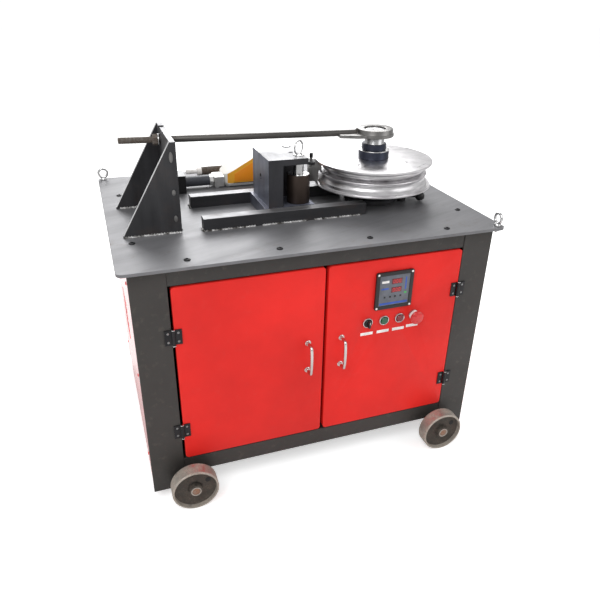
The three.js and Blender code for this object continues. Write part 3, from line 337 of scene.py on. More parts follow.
class Finish:
    """A node material being built: a principled shader and the helpers that feed it."""

    def __init__(self, name, metallic=0.0, roughness=0.5, coat=0.0, coat_roughness=0.1):
        self.material = bpy.data.materials.new(name)
        self.material.use_nodes = True
        self.nodes = self.material.node_tree.nodes
        self.links = self.material.node_tree.links
        self.shader = self.nodes["Principled BSDF"]
        self.shader.inputs["Metallic"].default_value = metallic
        self.shader.inputs["Roughness"].default_value = roughness
        self.shader.inputs["Coat Weight"].default_value = coat
        self.shader.inputs["Coat Roughness"].default_value = coat_roughness
        self.coords = self.nodes.new("ShaderNodeTexCoord").outputs["Object"]
        self.height = None

    def placed(self, centre=(0, 0, 0), stretch=(1, 1, 1), turn=(0, 0, 0)):
        mapping = self.nodes.new("ShaderNodeMapping")
        mapping.vector_type = "TEXTURE"
        mapping.inputs["Location"].default_value = centre
        mapping.inputs["Rotation"].default_value = turn
        mapping.inputs["Scale"].default_value = stretch
        self.links.new(self.coords, mapping.inputs["Vector"])
        return mapping.outputs["Vector"]

    def noise(self, scale, detail=4, roughness=0.55, vector=None, distortion=0.0):
        node = self.nodes.new("ShaderNodeTexNoise")
        node.inputs["Scale"].default_value = scale
        node.inputs["Detail"].default_value = detail
        node.inputs["Roughness"].default_value = roughness
        node.inputs["Distortion"].default_value = distortion
        self.links.new(vector or self.coords, node.inputs["Vector"])
        return node.outputs["Fac"]

    def ranged(self, value, low, high, out_low=0.0, out_high=1.0):
        node = self.nodes.new("ShaderNodeMapRange")
        for name, number in (
            ("From Min", low),
            ("From Max", high),
            ("To Min", out_low),
            ("To Max", out_high),
        ):
            node.inputs[name].default_value = number
        self.links.new(value, node.inputs["Value"])
        return node.outputs["Result"]

    def maths(self, kind, first, second=0.5):
        node = self.nodes.new("ShaderNodeMath")
        node.operation = kind
        for index, value in enumerate((first, second)):
            if isinstance(value, (int, float)):
                node.inputs[index].default_value = value
            else:
                self.links.new(value, node.inputs[index])
        return node.outputs["Value"]

    def mixed(self, amount, first, second):
        node = self.nodes.new("ShaderNodeMix")
        node.data_type = "RGBA"
        sockets = {"Factor": node.inputs[0], "A": node.inputs[6], "B": node.inputs[7]}
        self.links.new(amount, sockets["Factor"])
        for key, value in (("A", first), ("B", second)):
            if isinstance(value, (tuple, list)):
                sockets[key].default_value = (*value[:3], 1)
            else:
                self.links.new(value, sockets[key])
        return node.outputs[2]

    def colour(self, value):
        self.links.new(value, self.shader.inputs["Base Color"])
        return self

    def rough(self, value):
        self.links.new(value, self.shader.inputs["Roughness"])
        return self

    def metal(self, value):
        self.links.new(value, self.shader.inputs["Metallic"])
        return self

    def bump(self, value, distance, strength=1.0):
        node = self.nodes.new("ShaderNodeBump")
        node.inputs["Distance"].default_value = distance
        node.inputs["Strength"].default_value = strength
        self.links.new(value, node.inputs["Height"])
        if self.height is not None:
            self.links.new(self.height, node.inputs["Normal"])
        self.height = node.outputs["Normal"]
        self.links.new(self.height, self.shader.inputs["Normal"])
        return self

    def radius_from(self, centre, axis="Z"):
        """The distance from an axis through centre, in metres."""
        split = self.nodes.new("ShaderNodeSeparateXYZ")
        self.links.new(self.placed(centre), split.inputs["Vector"])
        pair = [k for k in "XYZ" if k != axis]
        squares = [self.maths("POWER", split.outputs[k], 2.0) for k in pair]
        return self.maths("POWER", self.maths("ADD", *squares), 0.5)


def shade(colour, amount):
    return tuple(min(1.0, c * amount) for c in colour[:3])


def painted(
    name, colour, metallic=0.0, low=0.3, high=0.5, coat=0.0, dust=(0.35, 0.3, 0.25), dusty=0.15, shine=0.5
):
    """Sprayed paint: faint mottling, orange peel, fine scratches and a little dust."""
    f = Finish(name, metallic, coat=coat, coat_roughness=0.15)
    f.shader.inputs["Specular IOR Level"].default_value = shine
    mottle = f.ranged(f.noise(3.5, 5), 0.3, 0.7)
    tone = f.mixed(mottle, shade(colour, 0.86), shade(colour, 1.14))
    specks = f.ranged(f.noise(38, 6, 0.7), 0.56, 0.74, 0, dusty)
    f.colour(f.mixed(specks, tone, dust))
    f.rough(f.ranged(f.noise(9, 6, 0.65), 0.3, 0.7, low, high))
    f.bump(f.noise(420, 2), 0.00006, 0.5)
    scratches = f.noise(60, 3, 0.6, f.placed(stretch=(0.04, 1, 1), turn=(0.2, 0.3, 0.7)))
    f.bump(f.ranged(scratches, 0.62, 0.66), 0.00004, 0.4)
    return f.material


def mill_steel(name, colour, rust=0.25, metallic=0.55, low=0.35, high=0.6, stretch=(1, 1, 6)):
    """Dark rolled plate: blue-grey scale, long streaks, and brown rust where it is worn."""
    f = Finish(name, metallic)
    streak = f.ranged(f.noise(24, 6, 0.6, f.placed(stretch=stretch)), 0.3, 0.7)
    tone = f.mixed(streak, shade(colour, 0.65), shade(colour, 1.45))
    cloud = f.ranged(f.noise(7, 6, 0.7), 0.52, 0.72, 0, rust)
    f.colour(f.mixed(cloud, tone, (0.16, 0.085, 0.05)))
    f.rough(f.ranged(f.noise(15, 5), 0.3, 0.7, low, high))
    f.bump(f.noise(160, 5, 0.7), 0.00012, 0.5)
    f.bump(f.ranged(streak, 0.2, 0.8), 0.00005, 0.5)
    return f.material


def turned_metal(name, colour, centre, axis="Z", low=0.14, high=0.3, ring_scale=900.0, metallic=1.0):
    """Metal from a lathe: fine rings round an axis, with soft smears across them."""
    f = Finish(name, metallic)
    radius = f.radius_from(centre, axis)
    wave = f.maths("SINE", f.maths("MULTIPLY", radius, ring_scale))
    rings = f.ranged(wave, -1, 1)
    smear = f.ranged(f.noise(11, 6, 0.6), 0.3, 0.7)
    tone = f.mixed(smear, shade(colour, 0.82), shade(colour, 1.08))
    f.colour(f.mixed(f.maths("MULTIPLY", rings, 0.25), tone, shade(colour, 0.7)))
    f.rough(f.ranged(smear, 0, 1, low, high))
    f.bump(rings, 0.00002, 0.6)
    return f.material


def bright_metal(name, colour, low=0.08, high=0.22):
    """Plated or polished metal with faint smudges and pits."""
    f = Finish(name, 1.0)
    smudge = f.ranged(f.noise(45, 5), 0.3, 0.7)
    f.colour(f.mixed(smudge, shade(colour, 0.88), colour))
    f.rough(f.ranged(smudge, 0, 1, low, high))
    f.bump(f.noise(700, 2), 0.00001, 0.4)
    return f.material


def rusty_metal(name, steel, rust, share=0.55, scale=70):
    """Bare steel or iron under patchy rust."""
    f = Finish(name, 0.5)
    patch = f.ranged(f.noise(scale, 7, 0.7), 0.5 - 0.25 * share, 0.75 - 0.25 * share)
    grain = f.ranged(f.noise(scale * 5, 4), 0.35, 0.65)
    tone = f.mixed(grain, shade(rust, 0.7), shade(rust, 1.3))
    f.colour(f.mixed(patch, steel, tone))
    f.rough(f.ranged(patch, 0, 1, 0.45, 0.85))
    f.metal(f.ranged(patch, 0, 1, 0.85, 0.15))
    f.bump(grain, 0.00015, 0.6)
    return f.material


def moulded(name, colour, low=0.35, high=0.5, coat=0.0):
    """Moulded plastic with a fine grain and slight wear."""
    f = Finish(name, 0.0, coat=coat)
    wear = f.ranged(f.noise(55, 5), 0.35, 0.7)
    f.colour(f.mixed(wear, shade(colour, 0.85), shade(colour, 1.2)))
    f.rough(f.ranged(wear, 0, 1, low, high))
    f.bump(f.noise(1500, 2), 0.00002, 0.5)
    return f.material


def weld_metal(name):
    """Wire-brushed weld: bright lumps with grey and brown spatter."""
    f = Finish(name, 0.8)
    lumps = f.ranged(f.noise(260, 5, 0.7), 0.35, 0.65)
    patches = f.ranged(f.noise(45, 3), 0.4, 0.55)
    tone = f.mixed(lumps, (0.3, 0.29, 0.28), (0.92, 0.92, 0.92))
    f.colour(f.mixed(patches, (0.07, 0.065, 0.06), tone))
    f.rough(f.ranged(lumps, 0, 1, 0.6, 0.4))
    f.bump(lumps, 0.0004, 0.7)
    return f.material


def table_finish(settings):
    """The table's smooth grey face: soft cloudy sheen, wipe marks, and scuffs near the guides."""
    colour = settings.table_colour
    f = Finish("table_grey", 0.35)
    cloud = f.ranged(f.noise(2.2, 5, 0.55, distortion=0.4), 0.3, 0.7)
    tone = f.mixed(cloud, shade(colour, 0.78), shade(colour, 1.22))
    wipes = f.noise(9, 7, 0.7, f.placed(stretch=(5, 0.8, 1), turn=(0, 0, 0.35)))
    tone = f.mixed(f.ranged(wipes, 0.48, 0.66, 0, 0.35), tone, shade(colour, 0.55))
    stain = f.ranged(f.noise(16, 6, 0.7), 0.6, 0.72, 0, 0.35)
    f.colour(f.mixed(stain, tone, (0.12, 0.09, 0.07)))
    f.rough(f.ranged(wipes, 0.3, 0.7, 0.38, 0.54))
    f.bump(f.noise(300, 3), 0.00005, 0.4)
    scratch = f.noise(70, 3, 0.6, f.placed(stretch=(0.05, 1.3, 1), turn=(0, 0, -0.5)))
    f.bump(f.ranged(scratch, 0.62, 0.65), 0.00005, 0.5)
    return f.material


def die_finish():
    """The die's polished faces: rings from the lathe, and milky radial wiping on the flat top."""
    f = Finish("polished_die", 1.0)
    radius = f.radius_from(SPINDLE)
    rings = f.ranged(f.maths("SINE", f.maths("MULTIPLY", radius, 1300.0)), -1, 1)
    broad = f.noise(1.0, 2, 0.5, f.placed(stretch=(0.03, 0.03, 0.005)))
    brushed = f.noise(40, 6, 0.7, f.placed(SPINDLE, (3, 0.5, 1), (0, 0, 0.4)))
    tone = f.mixed(f.ranged(broad, 0.3, 0.7), (0.62, 0.61, 0.62), (0.86, 0.85, 0.86))
    tone = f.mixed(f.ranged(brushed, 0.45, 0.7, 0, 0.3), tone, (0.5, 0.47, 0.48))
    f.colour(f.mixed(f.maths("MULTIPLY", rings, 0.2), tone, (0.55, 0.54, 0.56)))
    f.rough(f.ranged(brushed, 0.3, 0.7, 0.26, 0.4))
    f.bump(rings, 0.00002, 0.5)
    return f.material


def emitting(name, colour, strength):
    f = Finish(name, 0.0, 0.3)
    f.colour(f.mixed(f.noise(300, 2), shade(colour, 0.8), colour))
    f.shader.inputs["Emission Color"].default_value = (*colour, 1)
    f.shader.inputs["Emission Strength"].default_value = strength
    return f.material


# ---------------------------------------------------------------- the finishes by name

FINISHES = {}


def make_finishes(settings):
    red, dark = settings.red_paint, settings.frame_paint
    iron, rust = (0.22, 0.205, 0.19), (0.115, 0.092, 0.075)
    FINISHES.update(
        red=painted("red_paint", red, 0.0, 0.35, 0.5, dusty=0.03, shine=0.22),
        red_side=painted("red_side_paint", red, 0.0, 0.28, 0.4, coat=1.0, dusty=0.05),
        frame=painted("frame_paint", dark, 0.1, 0.4, 0.6, dust=(0.2, 0.17, 0.13), dusty=0.2),
        table=table_finish(settings),
        plate=mill_steel("dark_plate", (0.03, 0.03, 0.033), rust=0.12, metallic=0.2),
        block=mill_steel("block_steel", (0.15, 0.16, 0.205), rust=0.12, low=0.3, high=0.5),
        # The block's top faces get a lighter copy of its steel as painted highlight, and its front, right and
        # under faces a nearly black copy as painted shade.
        block_top=mill_steel(
            "block_top", (0.3, 0.3, 0.31), rust=0.15, metallic=0.75, low=0.34, high=0.5, stretch=(1, 8, 1)
        ),
        block_dark=mill_steel("block_dark", (0.022, 0.022, 0.026), rust=0.1, metallic=0.2),
        guide=mill_steel("guide_steel", (0.026, 0.026, 0.029), rust=0.15, metallic=0.2, stretch=(8, 1, 1)),
        # The guide rails' top faces get a lighter copy of their dark steel as painted highlight.
        guide_top=mill_steel("guide_top", (0.22, 0.22, 0.23), rust=0.2, metallic=0.7, stretch=(8, 1, 1)),
        dull=bright_metal("dull_screws", (0.3, 0.3, 0.3), 0.25, 0.4),
        # The gussets' sloping cut edges are bare steel, made near white as painted highlight.
        cut_edge=mill_steel("cut_edge", (0.8, 0.8, 0.82), rust=0.05, metallic=0.5, low=0.4, high=0.6),
        # The top faces of the dark plates get this lighter copy of the plate steel as painted highlight.
        plate_top=mill_steel("plate_top", (0.2, 0.2, 0.21), rust=0.15, metallic=0.6, low=0.35, high=0.5),
        weld=weld_metal("weld_metal"),
        die=die_finish(),
        spindle=turned_metal("turned_spindle", (0.62, 0.62, 0.63), SPINDLE, low=0.18, high=0.34),
        collar=mill_steel("blued_collar", (0.035, 0.04, 0.06), rust=0.05, metallic=0.7, low=0.3, high=0.45),
        roller=turned_metal("browned_roller", (0.06, 0.044, 0.036), ROLLER, low=0.3, high=0.5, metallic=0.8),
        rod=mill_steel("rod_steel", (0.09, 0.085, 0.08), rust=0.15, metallic=0.7, stretch=(8, 1, 1)),
        arm=mill_steel("arm_steel", (0.22, 0.215, 0.21), rust=0.05, metallic=0.85, low=0.3, high=0.45),
        rust=rusty_metal("rusted_thread", iron, rust, 0.8, 120),
        axle=rusty_metal("rusted_axle", (0.35, 0.3, 0.27), (0.3, 0.16, 0.1), 0.9, 160),
        iron=rusty_metal("wheel_iron", (0.5, 0.46, 0.41), (0.38, 0.33, 0.28), 0.5, 60),
        web=rusty_metal("wheel_web", (0.075, 0.068, 0.06), (0.1, 0.08, 0.065), 0.5, 45),
        chrome=bright_metal("handle_chrome", (0.72, 0.7, 0.68)),
        bright=bright_metal("plated_steel", (0.72, 0.72, 0.72), 0.14, 0.3),
        black_steel=mill_steel("black_hinge", (0.018, 0.018, 0.02), rust=0.05, low=0.3, high=0.5),
        black=moulded("black_plastic", (0.012, 0.012, 0.013)),
        grey_face=moulded("panel_grey", (0.12, 0.13, 0.155), 0.3, 0.4),
        lid=painted("lid_grey", (0.42, 0.43, 0.44), 0.0, 0.35, 0.5),
        # The conduit box's top face is light grey over its black body, as painted highlight.
        conduit=painted("conduit_grey", (0.075, 0.08, 0.095), 0.0, 0.35, 0.55),
        grey=painted("machine_grey", (0.3, 0.33, 0.36), 0.0, 0.35, 0.55),
        white=moulded("label_white", (0.82, 0.8, 0.78), 0.4, 0.5),
        blue=moulded("stripe_blue", (0.03, 0.09, 0.42)),
        green=moulded("green_cap", (0.005, 0.09, 0.036), 0.2, 0.3, coat=0.4),
        maroon=moulded("dark_red_cap", (0.17, 0.006, 0.012), 0.2, 0.3, coat=0.4),
        mushroom=moulded("red_cap", (0.62, 0.02, 0.02), 0.25, 0.35, coat=0.3),
        window=moulded("display_window", (0.13, 0.006, 0.012), 0.12, 0.2, coat=0.6),
        lit=emitting("lit_digits", (0.55, 0.03, 0.03), 0.6),
        lamp=emitting("green_lamp", (0.05, 0.4, 0.08), 0.3),
        aluminium=bright_metal("cast_aluminium", (0.86, 0.86, 0.84), 0.35, 0.5),
        yellow=painted("hood_yellow", (0.9, 0.42, 0.03), 0.0, 0.3, 0.42, coat=0.2, dusty=0.04),
        orange=painted("hood_orange", (0.86, 0.28, 0.008), 0.0, 0.3, 0.42, coat=0.2, dusty=0.04),
        # The hood's top and shoulders are near white instead of its yellow paint, as painted highlight.
        pale=painted("hood_white", (0.85, 0.83, 0.78), 0.0, 0.3, 0.42, dusty=0.04),
        rubber=moulded("seal_rubber", (0.012, 0.012, 0.012), 0.6, 0.75),
    )


def finish(name):
    return FINISHES[name]


# ---------------------------------------------------------------- settings


class BENDER_PG_settings(PropertyGroup):
    """The sizes and colours that a user would change."""

    red_paint: FloatVectorProperty(
        name="Red Paint",
        description="Colour of the doors and side panels",
        subtype="COLOR",
        size=3,
        min=0,
        max=1,
        default=(0.76, 0.022, 0.017),
    )
    frame_paint: FloatVectorProperty(
        name="Frame Paint",
        description="Colour of the legs and rails",
        subtype="COLOR",
        size=3,
        min=0,
        max=1,
        default=(0.038, 0.034, 0.031),
    )
    table_colour: FloatVectorProperty(
        name="Table Grey",
        description="Colour of the table's face",
        subtype="COLOR",
        size=3,
        min=0,
        max=1,
        default=(0.2, 0.2, 0.21),
    )
    edge: FloatProperty(
        name="Edge Rounding",
        description="Radius on the edges of plates and blocks",
        unit="LENGTH",
        default=0.8 * MM,
        min=0.1 * MM,
        max=3 * MM,
    )
    bead: FloatProperty(
        name="Weld Bead",
        description="Radius of the weld beads",
        unit="LENGTH",
        default=3.4 * MM,
        min=1 * MM,
        max=6 * MM,
    )
    screw_radius: FloatProperty(
        name="Table Screw",
        description="Radius of the heads of the table's screws",
        unit="LENGTH",
        default=8.5 * MM,
        min=3 * MM,
        max=15 * MM,
    )
    bezel_radius: FloatProperty(
        name="Switch Bezel",
        description="Outer radius of the rings round the door's switches",
        unit="LENGTH",
        default=15.5 * MM,
        min=12 * MM,
        max=20 * MM,
    )
    thread_turns: IntProperty(
        name="Thread Turns",
        description="Turns of thread at the tie rod's end",
        default=30,
        min=4,
        max=60,
    )


# ---------------------------------------------------------------- cabinet

LEGS = ("leg_front_left", "leg_front_right", "leg_back_left", "leg_back_right")
RAILS = ("front_top_rail", "front_bottom_rail")


def build_cabinet(settings):
    for node in (*LEGS, *RAILS):
        softened(node, finish("frame"), 1.2 * MM if node in LEGS else settings.edge)
    softened("back_panel", finish("red"), 0.5 * MM)
    for node in ("left_side_panel", "right_side_panel"):
        softened(node, finish("red_side"), 0.5 * MM)
    softened("floor_pan", finish("frame"), settings.edge)
    # rolled ribs that stiffen the back panel, then rivets and louvres on the side panels
    low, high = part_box("back_panel")
    for share in (0.3, 0.7):
        z = low.z + share * (high.z - low.z)
        inner = (low.x + 0.06, high.y - 0.5 * MM, z - 0.012)
        outer = (high.x - 0.06, high.y + 1.5 * MM, z + 0.012)
        rib = block(inner, outer, 1.2 * MM)
        finish_mesh(f"back_rib_{int(share * 10)}", rib, finish("red"), "cabinet")
    for side, name in ((-1, "left"), (1, "right")):
        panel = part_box(f"{name}_side_panel")
        outer = panel[0].x if side < 0 else panel[1].x
        heads = []
        for y_share in (0.07, 0.93):
            for z_share in (0.08, 0.5, 0.92):
                y = panel[0].y + y_share * (panel[1].y - panel[0].y)
                z = panel[0].z + z_share * (panel[1].z - panel[0].z)
                profile = [(0, -0.0005), (0.005, -0.0005), (0.005, 0.0005), (0.0035, 0.002), (0, 0.0026)]
                heads.append(lathe(profile, (outer, y, z), X_AXIS * side, 16, closed=False))
        finish_mesh(f"{name}_panel_rivets", joined(*heads), finish("red_side"), "cabinet")
        louvres = []
        mid_y = (panel[0].y + panel[1].y) / 2
        for step in range(6):
            z = panel[0].z + (0.44 + 0.035 * step) * (panel[1].z - panel[0].z)
            low_corner = (outer - 1.2 * MM, mid_y - 0.06, z)
            louvres.append(block(low_corner, (outer + 1.2 * MM, mid_y + 0.06, z + 7 * MM), 1 * MM))
        finish_mesh(f"{name}_panel_louvres", joined(*louvres), finish("red_side"), "cabinet")


def build_table(settings):
    softened("table_top", finish("table"), 1.5 * MM, 3, smooth_angle=10)


SCREW_ROW_Y = -0.3545
SCREW_ROW_X = (-0.355, -0.123, 0.126, 0.358)
SIDE_SCREWS = ((-0.470, -0.2145), (-0.470, 0.1885), (0.472, -0.2285), (0.472, 0.1885))
BACK_ROW_Y = 0.3545


def screw_head(x, y, z, radius, height, recess=True):
    """A low button head with a hexagon socket."""
    profile = [
        (0, -0.0002),
        (radius, -0.0002),
        (radius, 0.25 * height),
        (0.86 * radius, 0.7 * height),
        (0.6 * radius, height),
        (0.42 * radius, height),
    ]
    if recess:
        profile += [(0.38 * radius, 0.3 * height), (0, 0.3 * height)]
    else:
        profile += [(0, height)]
    return lathe(profile, (x, y, z), Z_AXIS, 24, closed=False)


def build_table_screws(settings):
    """Socket screws that hold the table to the frame, each in a dark countersink."""
    radius = settings.screw_radius
    places = [(x, SCREW_ROW_Y) for x in SCREW_ROW_X]
    places += [(x, BACK_ROW_Y) for x in SCREW_ROW_X]
    places += list(SIDE_SCREWS)
    heads = [screw_head(x, y, TABLE_Z, radius, 3.4 * MM) for x, y in places]
    finish_mesh("table_screws", joined(*heads), finish("black_steel"), "cabinet")
    # Painted glint: a small bright disc set off-centre in each screw's socket.
    specks = [
        lathe(disc_profile(2 * MM, 0, 1.3 * MM, 0.3 * MM), (x + 1.5 * MM, y - 1 * MM, TABLE_Z), Z_AXIS, 12)
        for x, y in places
    ]
    finish_mesh("table_screw_sockets", joined(*specks), finish("bright"), "cabinet")


# ---------------------------------------------------------------- doors

SWITCHES = ("selector_knob", "green_button", "red_button", "emergency_stop")


def build_doors(settings):
    for name in ("left", "right"):
        softened(f"{name}_door", finish("red"), 0.9 * MM, 3)
        # a rubber strip all round the folded edge, behind the face
        low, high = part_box(f"{name}_door")
        y = high.y + 0.2 * MM
        inset, half = 5 * MM, 1.6 * MM
        corners = [
            (low.x + inset, low.z + inset),
            (high.x - inset, low.z + inset),
            (high.x - inset, high.z - inset),
            (low.x + inset, high.z - inset),
        ]
        strips = []
        for (x0, z0), (x1, z1) in zip(corners, corners[1:] + corners[:1]):
            strips.append(
                block(
                    (min(x0, x1) - half, y - 3 * MM, min(z0, z1) - half),
                    (max(x0, x1) + half, y, max(z0, z1) + half),
                    0.5 * MM,
                )
            )
        finish_mesh(f"{name}_door_seal", joined(*strips), finish("rubber"), f"{name}_door")


def build_handles(settings):
    """Bent chrome pulls on round feet, each with its own screw boss."""
    for name in ("left", "right"):
        node = f"{name}_door_handle"
        low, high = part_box(node)
        x = (low.x + high.x) / 2
        radius = 4.6 * MM
        reach = low.y + radius
        foot_r = (high.x - low.x) / 2
        top, bottom = high.z - foot_r, low.z + foot_r
        bend = 9 * MM
        points = [(x, high.y - 1 * MM, bottom), (x, reach + 1.4 * bend, bottom)]
        points += [(x, reach + 0.35 * bend, bottom + 0.25 * bend), (x, reach, bottom + bend)]
        points += [(x, reach, top - bend), (x, reach + 0.35 * bend, top - 0.25 * bend)]
        points += [(x, reach + 1.4 * bend, top), (x, high.y - 1 * MM, top)]
        sweep(f"{node}_bar", points, radius, finish("chrome"), f"{name}_door", replaces=(node,), sides=5)
        feet = []
        for z in (top, bottom):
            profile = [(0, 0), (foot_r, 0), (foot_r, 1 * MM)]
            profile += [(6.6 * MM, 2.5 * MM), (6.4 * MM, 5 * MM), (0, 5.5 * MM)]
            feet.append(lathe(profile, (x, high.y, z), -Y_AXIS, ROUND, closed=False))
        finish_mesh(f"{node}_feet", joined(*feet), finish("chrome"), f"{name}_door")


def build_hinges(settings):
    """Black butt hinges: the fixed leaf is in the frame, the other rides on the door."""
    for side, name in ((-1, "left"), (1, "right")):
        for place in ("lower", "upper"):
            node = f"{name}_{place}_hinge"
            softened(node, finish("black_steel"), 0.4 * MM, least_angle=40)
            low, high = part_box(node)
            barrel = (high.y - low.y) / 2
            axis_x = low.x + barrel if side > 0 else high.x - barrel
            axis_y = (low.y + high.y) / 2
            z = (low.z + high.z) / 2
            reach = (high.x - low.x) - barrel
            thick = 2.5 * MM
            inner = axis_x - side * (barrel + 0.2 * MM)
            outer = axis_x - side * reach
            leaf = block(
                (min(inner, outer), DOOR_FACE_Y - thick - 0.15 * MM, low.z),
                (max(inner, outer), DOOR_FACE_Y - 0.15 * MM, high.z),
                0.4 * MM,
            )
            finish_mesh(f"{name}_{place}_hinge_leaf", leaf, finish("black_steel"), f"{name}_door")
            for sign, body in ((1, "cabinet"), (-1, f"{name}_door")):
                heads = []
                x = axis_x + sign * side * (barrel + 8.5 * MM)
                for dz in (-12.5 * MM, 12.5 * MM):
                    profile = [(0, 0), (3.3 * MM, 0), (3.1 * MM, 0.6 * MM), (2 * MM, 1.3 * MM), (0, 1.5 * MM)]
                    at = (x, DOOR_FACE_Y - thick - 0.2 * MM, z + dz)
                    heads.append(lathe(profile, at, -Y_AXIS, 20, closed=False))
                where = "fixed" if sign > 0 else "moving"
                finish_mesh(f"{name}_{place}_hinge_{where}_screws", joined(*heads), finish("dull"), body)
            cap = barrel + 0.5 * MM
            caps = [
                lathe(disc_profile(cap, 0, 2 * MM, 0.6 * MM), (axis_x, axis_y, top), Z_AXIS, 20)
                for top in (low.z - 2.2 * MM, high.z + 0.2 * MM)
            ]
            finish_mesh(f"{name}_{place}_hinge_pin_ends", joined(*caps), finish("bright"), "cabinet")


SEGMENTS = (
    ((-1, 2), (1, 2)),
    ((-1, 0), (1, 0)),
    ((-1, -2), (1, -2)),
    ((-1, 0), (-1, 2)),
    ((1, 0), (1, 2)),
    ((-1, -2), (-1, 0)),
    ((1, -2), (1, 0)),
)
ZERO = (0, 2, 3, 4, 5, 6)


def digit_bars(x, z, y, half_w, half_h, width):
    """The lit bars of a nought on a seven-bar display."""
    bars = []
    for index in ZERO:
        (x0, z0), (x1, z1) = SEGMENTS[index]
        ends = [(x + a * half_w, z + b * half_h / 2) for a, b in ((x0, z0), (x1, z1))]
        xs, zs = [e[0] for e in ends], [e[1] for e in ends]
        bars.append(
            block(
                (min(xs) - width / 2, y - 0.15 * MM, min(zs) - width / 2),
                (max(xs) + width / 2, y, max(zs) + width / 2),
            )
        )
    return bars


def build_controller(settings):
    """The angle controller's bezel with its grey face, two red displays, keys and lamps."""
    node = "angle_controller"
    softened(node, finish("black"), 0.8 * MM, 3)
    low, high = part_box(node)
    x, z = (low.x + high.x) / 2, (low.z + high.z) / 2
    face_y = low.y + 2 * MM
    half = 45.6 * MM
    plate = block((x - half, face_y - 0.9 * MM, z - half), (x + half, face_y + 0.5 * MM, z + half), 0.5 * MM)
    finish_mesh("controller_face", plate, finish("grey_face"), "right_door")
    front = face_y - 0.9 * MM

    def flat(name, x0, z0, x1, z1, kind, rise=0.5 * MM):
        low_corner = (x + x0 * MM, front - rise, z + z0 * MM)
        shape = block(low_corner, (x + x1 * MM, front + 0.3 * MM, z + z1 * MM), 0.2 * MM)
        return finish_mesh(name, shape, finish(kind), "right_door")

    for index, (z0, z1) in enumerate(((19, 35), (-7, 9))):
        flat(f"controller_display_{index + 1}", -10, z0, 22, z1, "window")
        digits = []
        for step in range(3):
            digit_x = x + (-2.5 + 8.5 * step) * MM
            centre_z = z + (z0 + z1) / 2 * MM
            digits += digit_bars(digit_x, centre_z, front - 0.52 * MM, 2.2 * MM, 4.6 * MM, 1.1 * MM)
        finish_mesh(f"controller_digits_{index + 1}", joined(*digits), finish("lit"), "right_door")
    for index, key_x in enumerate((-31, -14, 1, 18)):
        flat(f"controller_key_{index + 1}", key_x, -22, key_x + 5, -17, "black", 0.8 * MM)
    flat("controller_stripe", -43, -43, 43, -36.5, "blue", 0.2 * MM)
    flat("controller_column", 32, -2, 36, 36, "blue", 0.15 * MM)
    flat("controller_lamp", 31, -14, 38, -9, "lamp", 0.4 * MM)
    flat("controller_note_upper", -40, 24, -18, 31, "white", 0.1 * MM)
    flat("controller_note_lower", -40, 4, -18, 9, "blue", 0.1 * MM)
    screws = []
    screw_profile = [(0, 0), (3.2 * MM, 0), (3 * MM, 0.8 * MM), (0, 1.4 * MM)]
    for sx in (-1, 1):
        for sz in (-1, 1):
            at = (x + sx * 51 * MM, low.y, z + sz * 51 * MM)
            screws.append(lathe(screw_profile, at, -Y_AXIS, 20, closed=False))
    finish_mesh("controller_corner_screws", joined(*screws), finish("white"), "right_door")


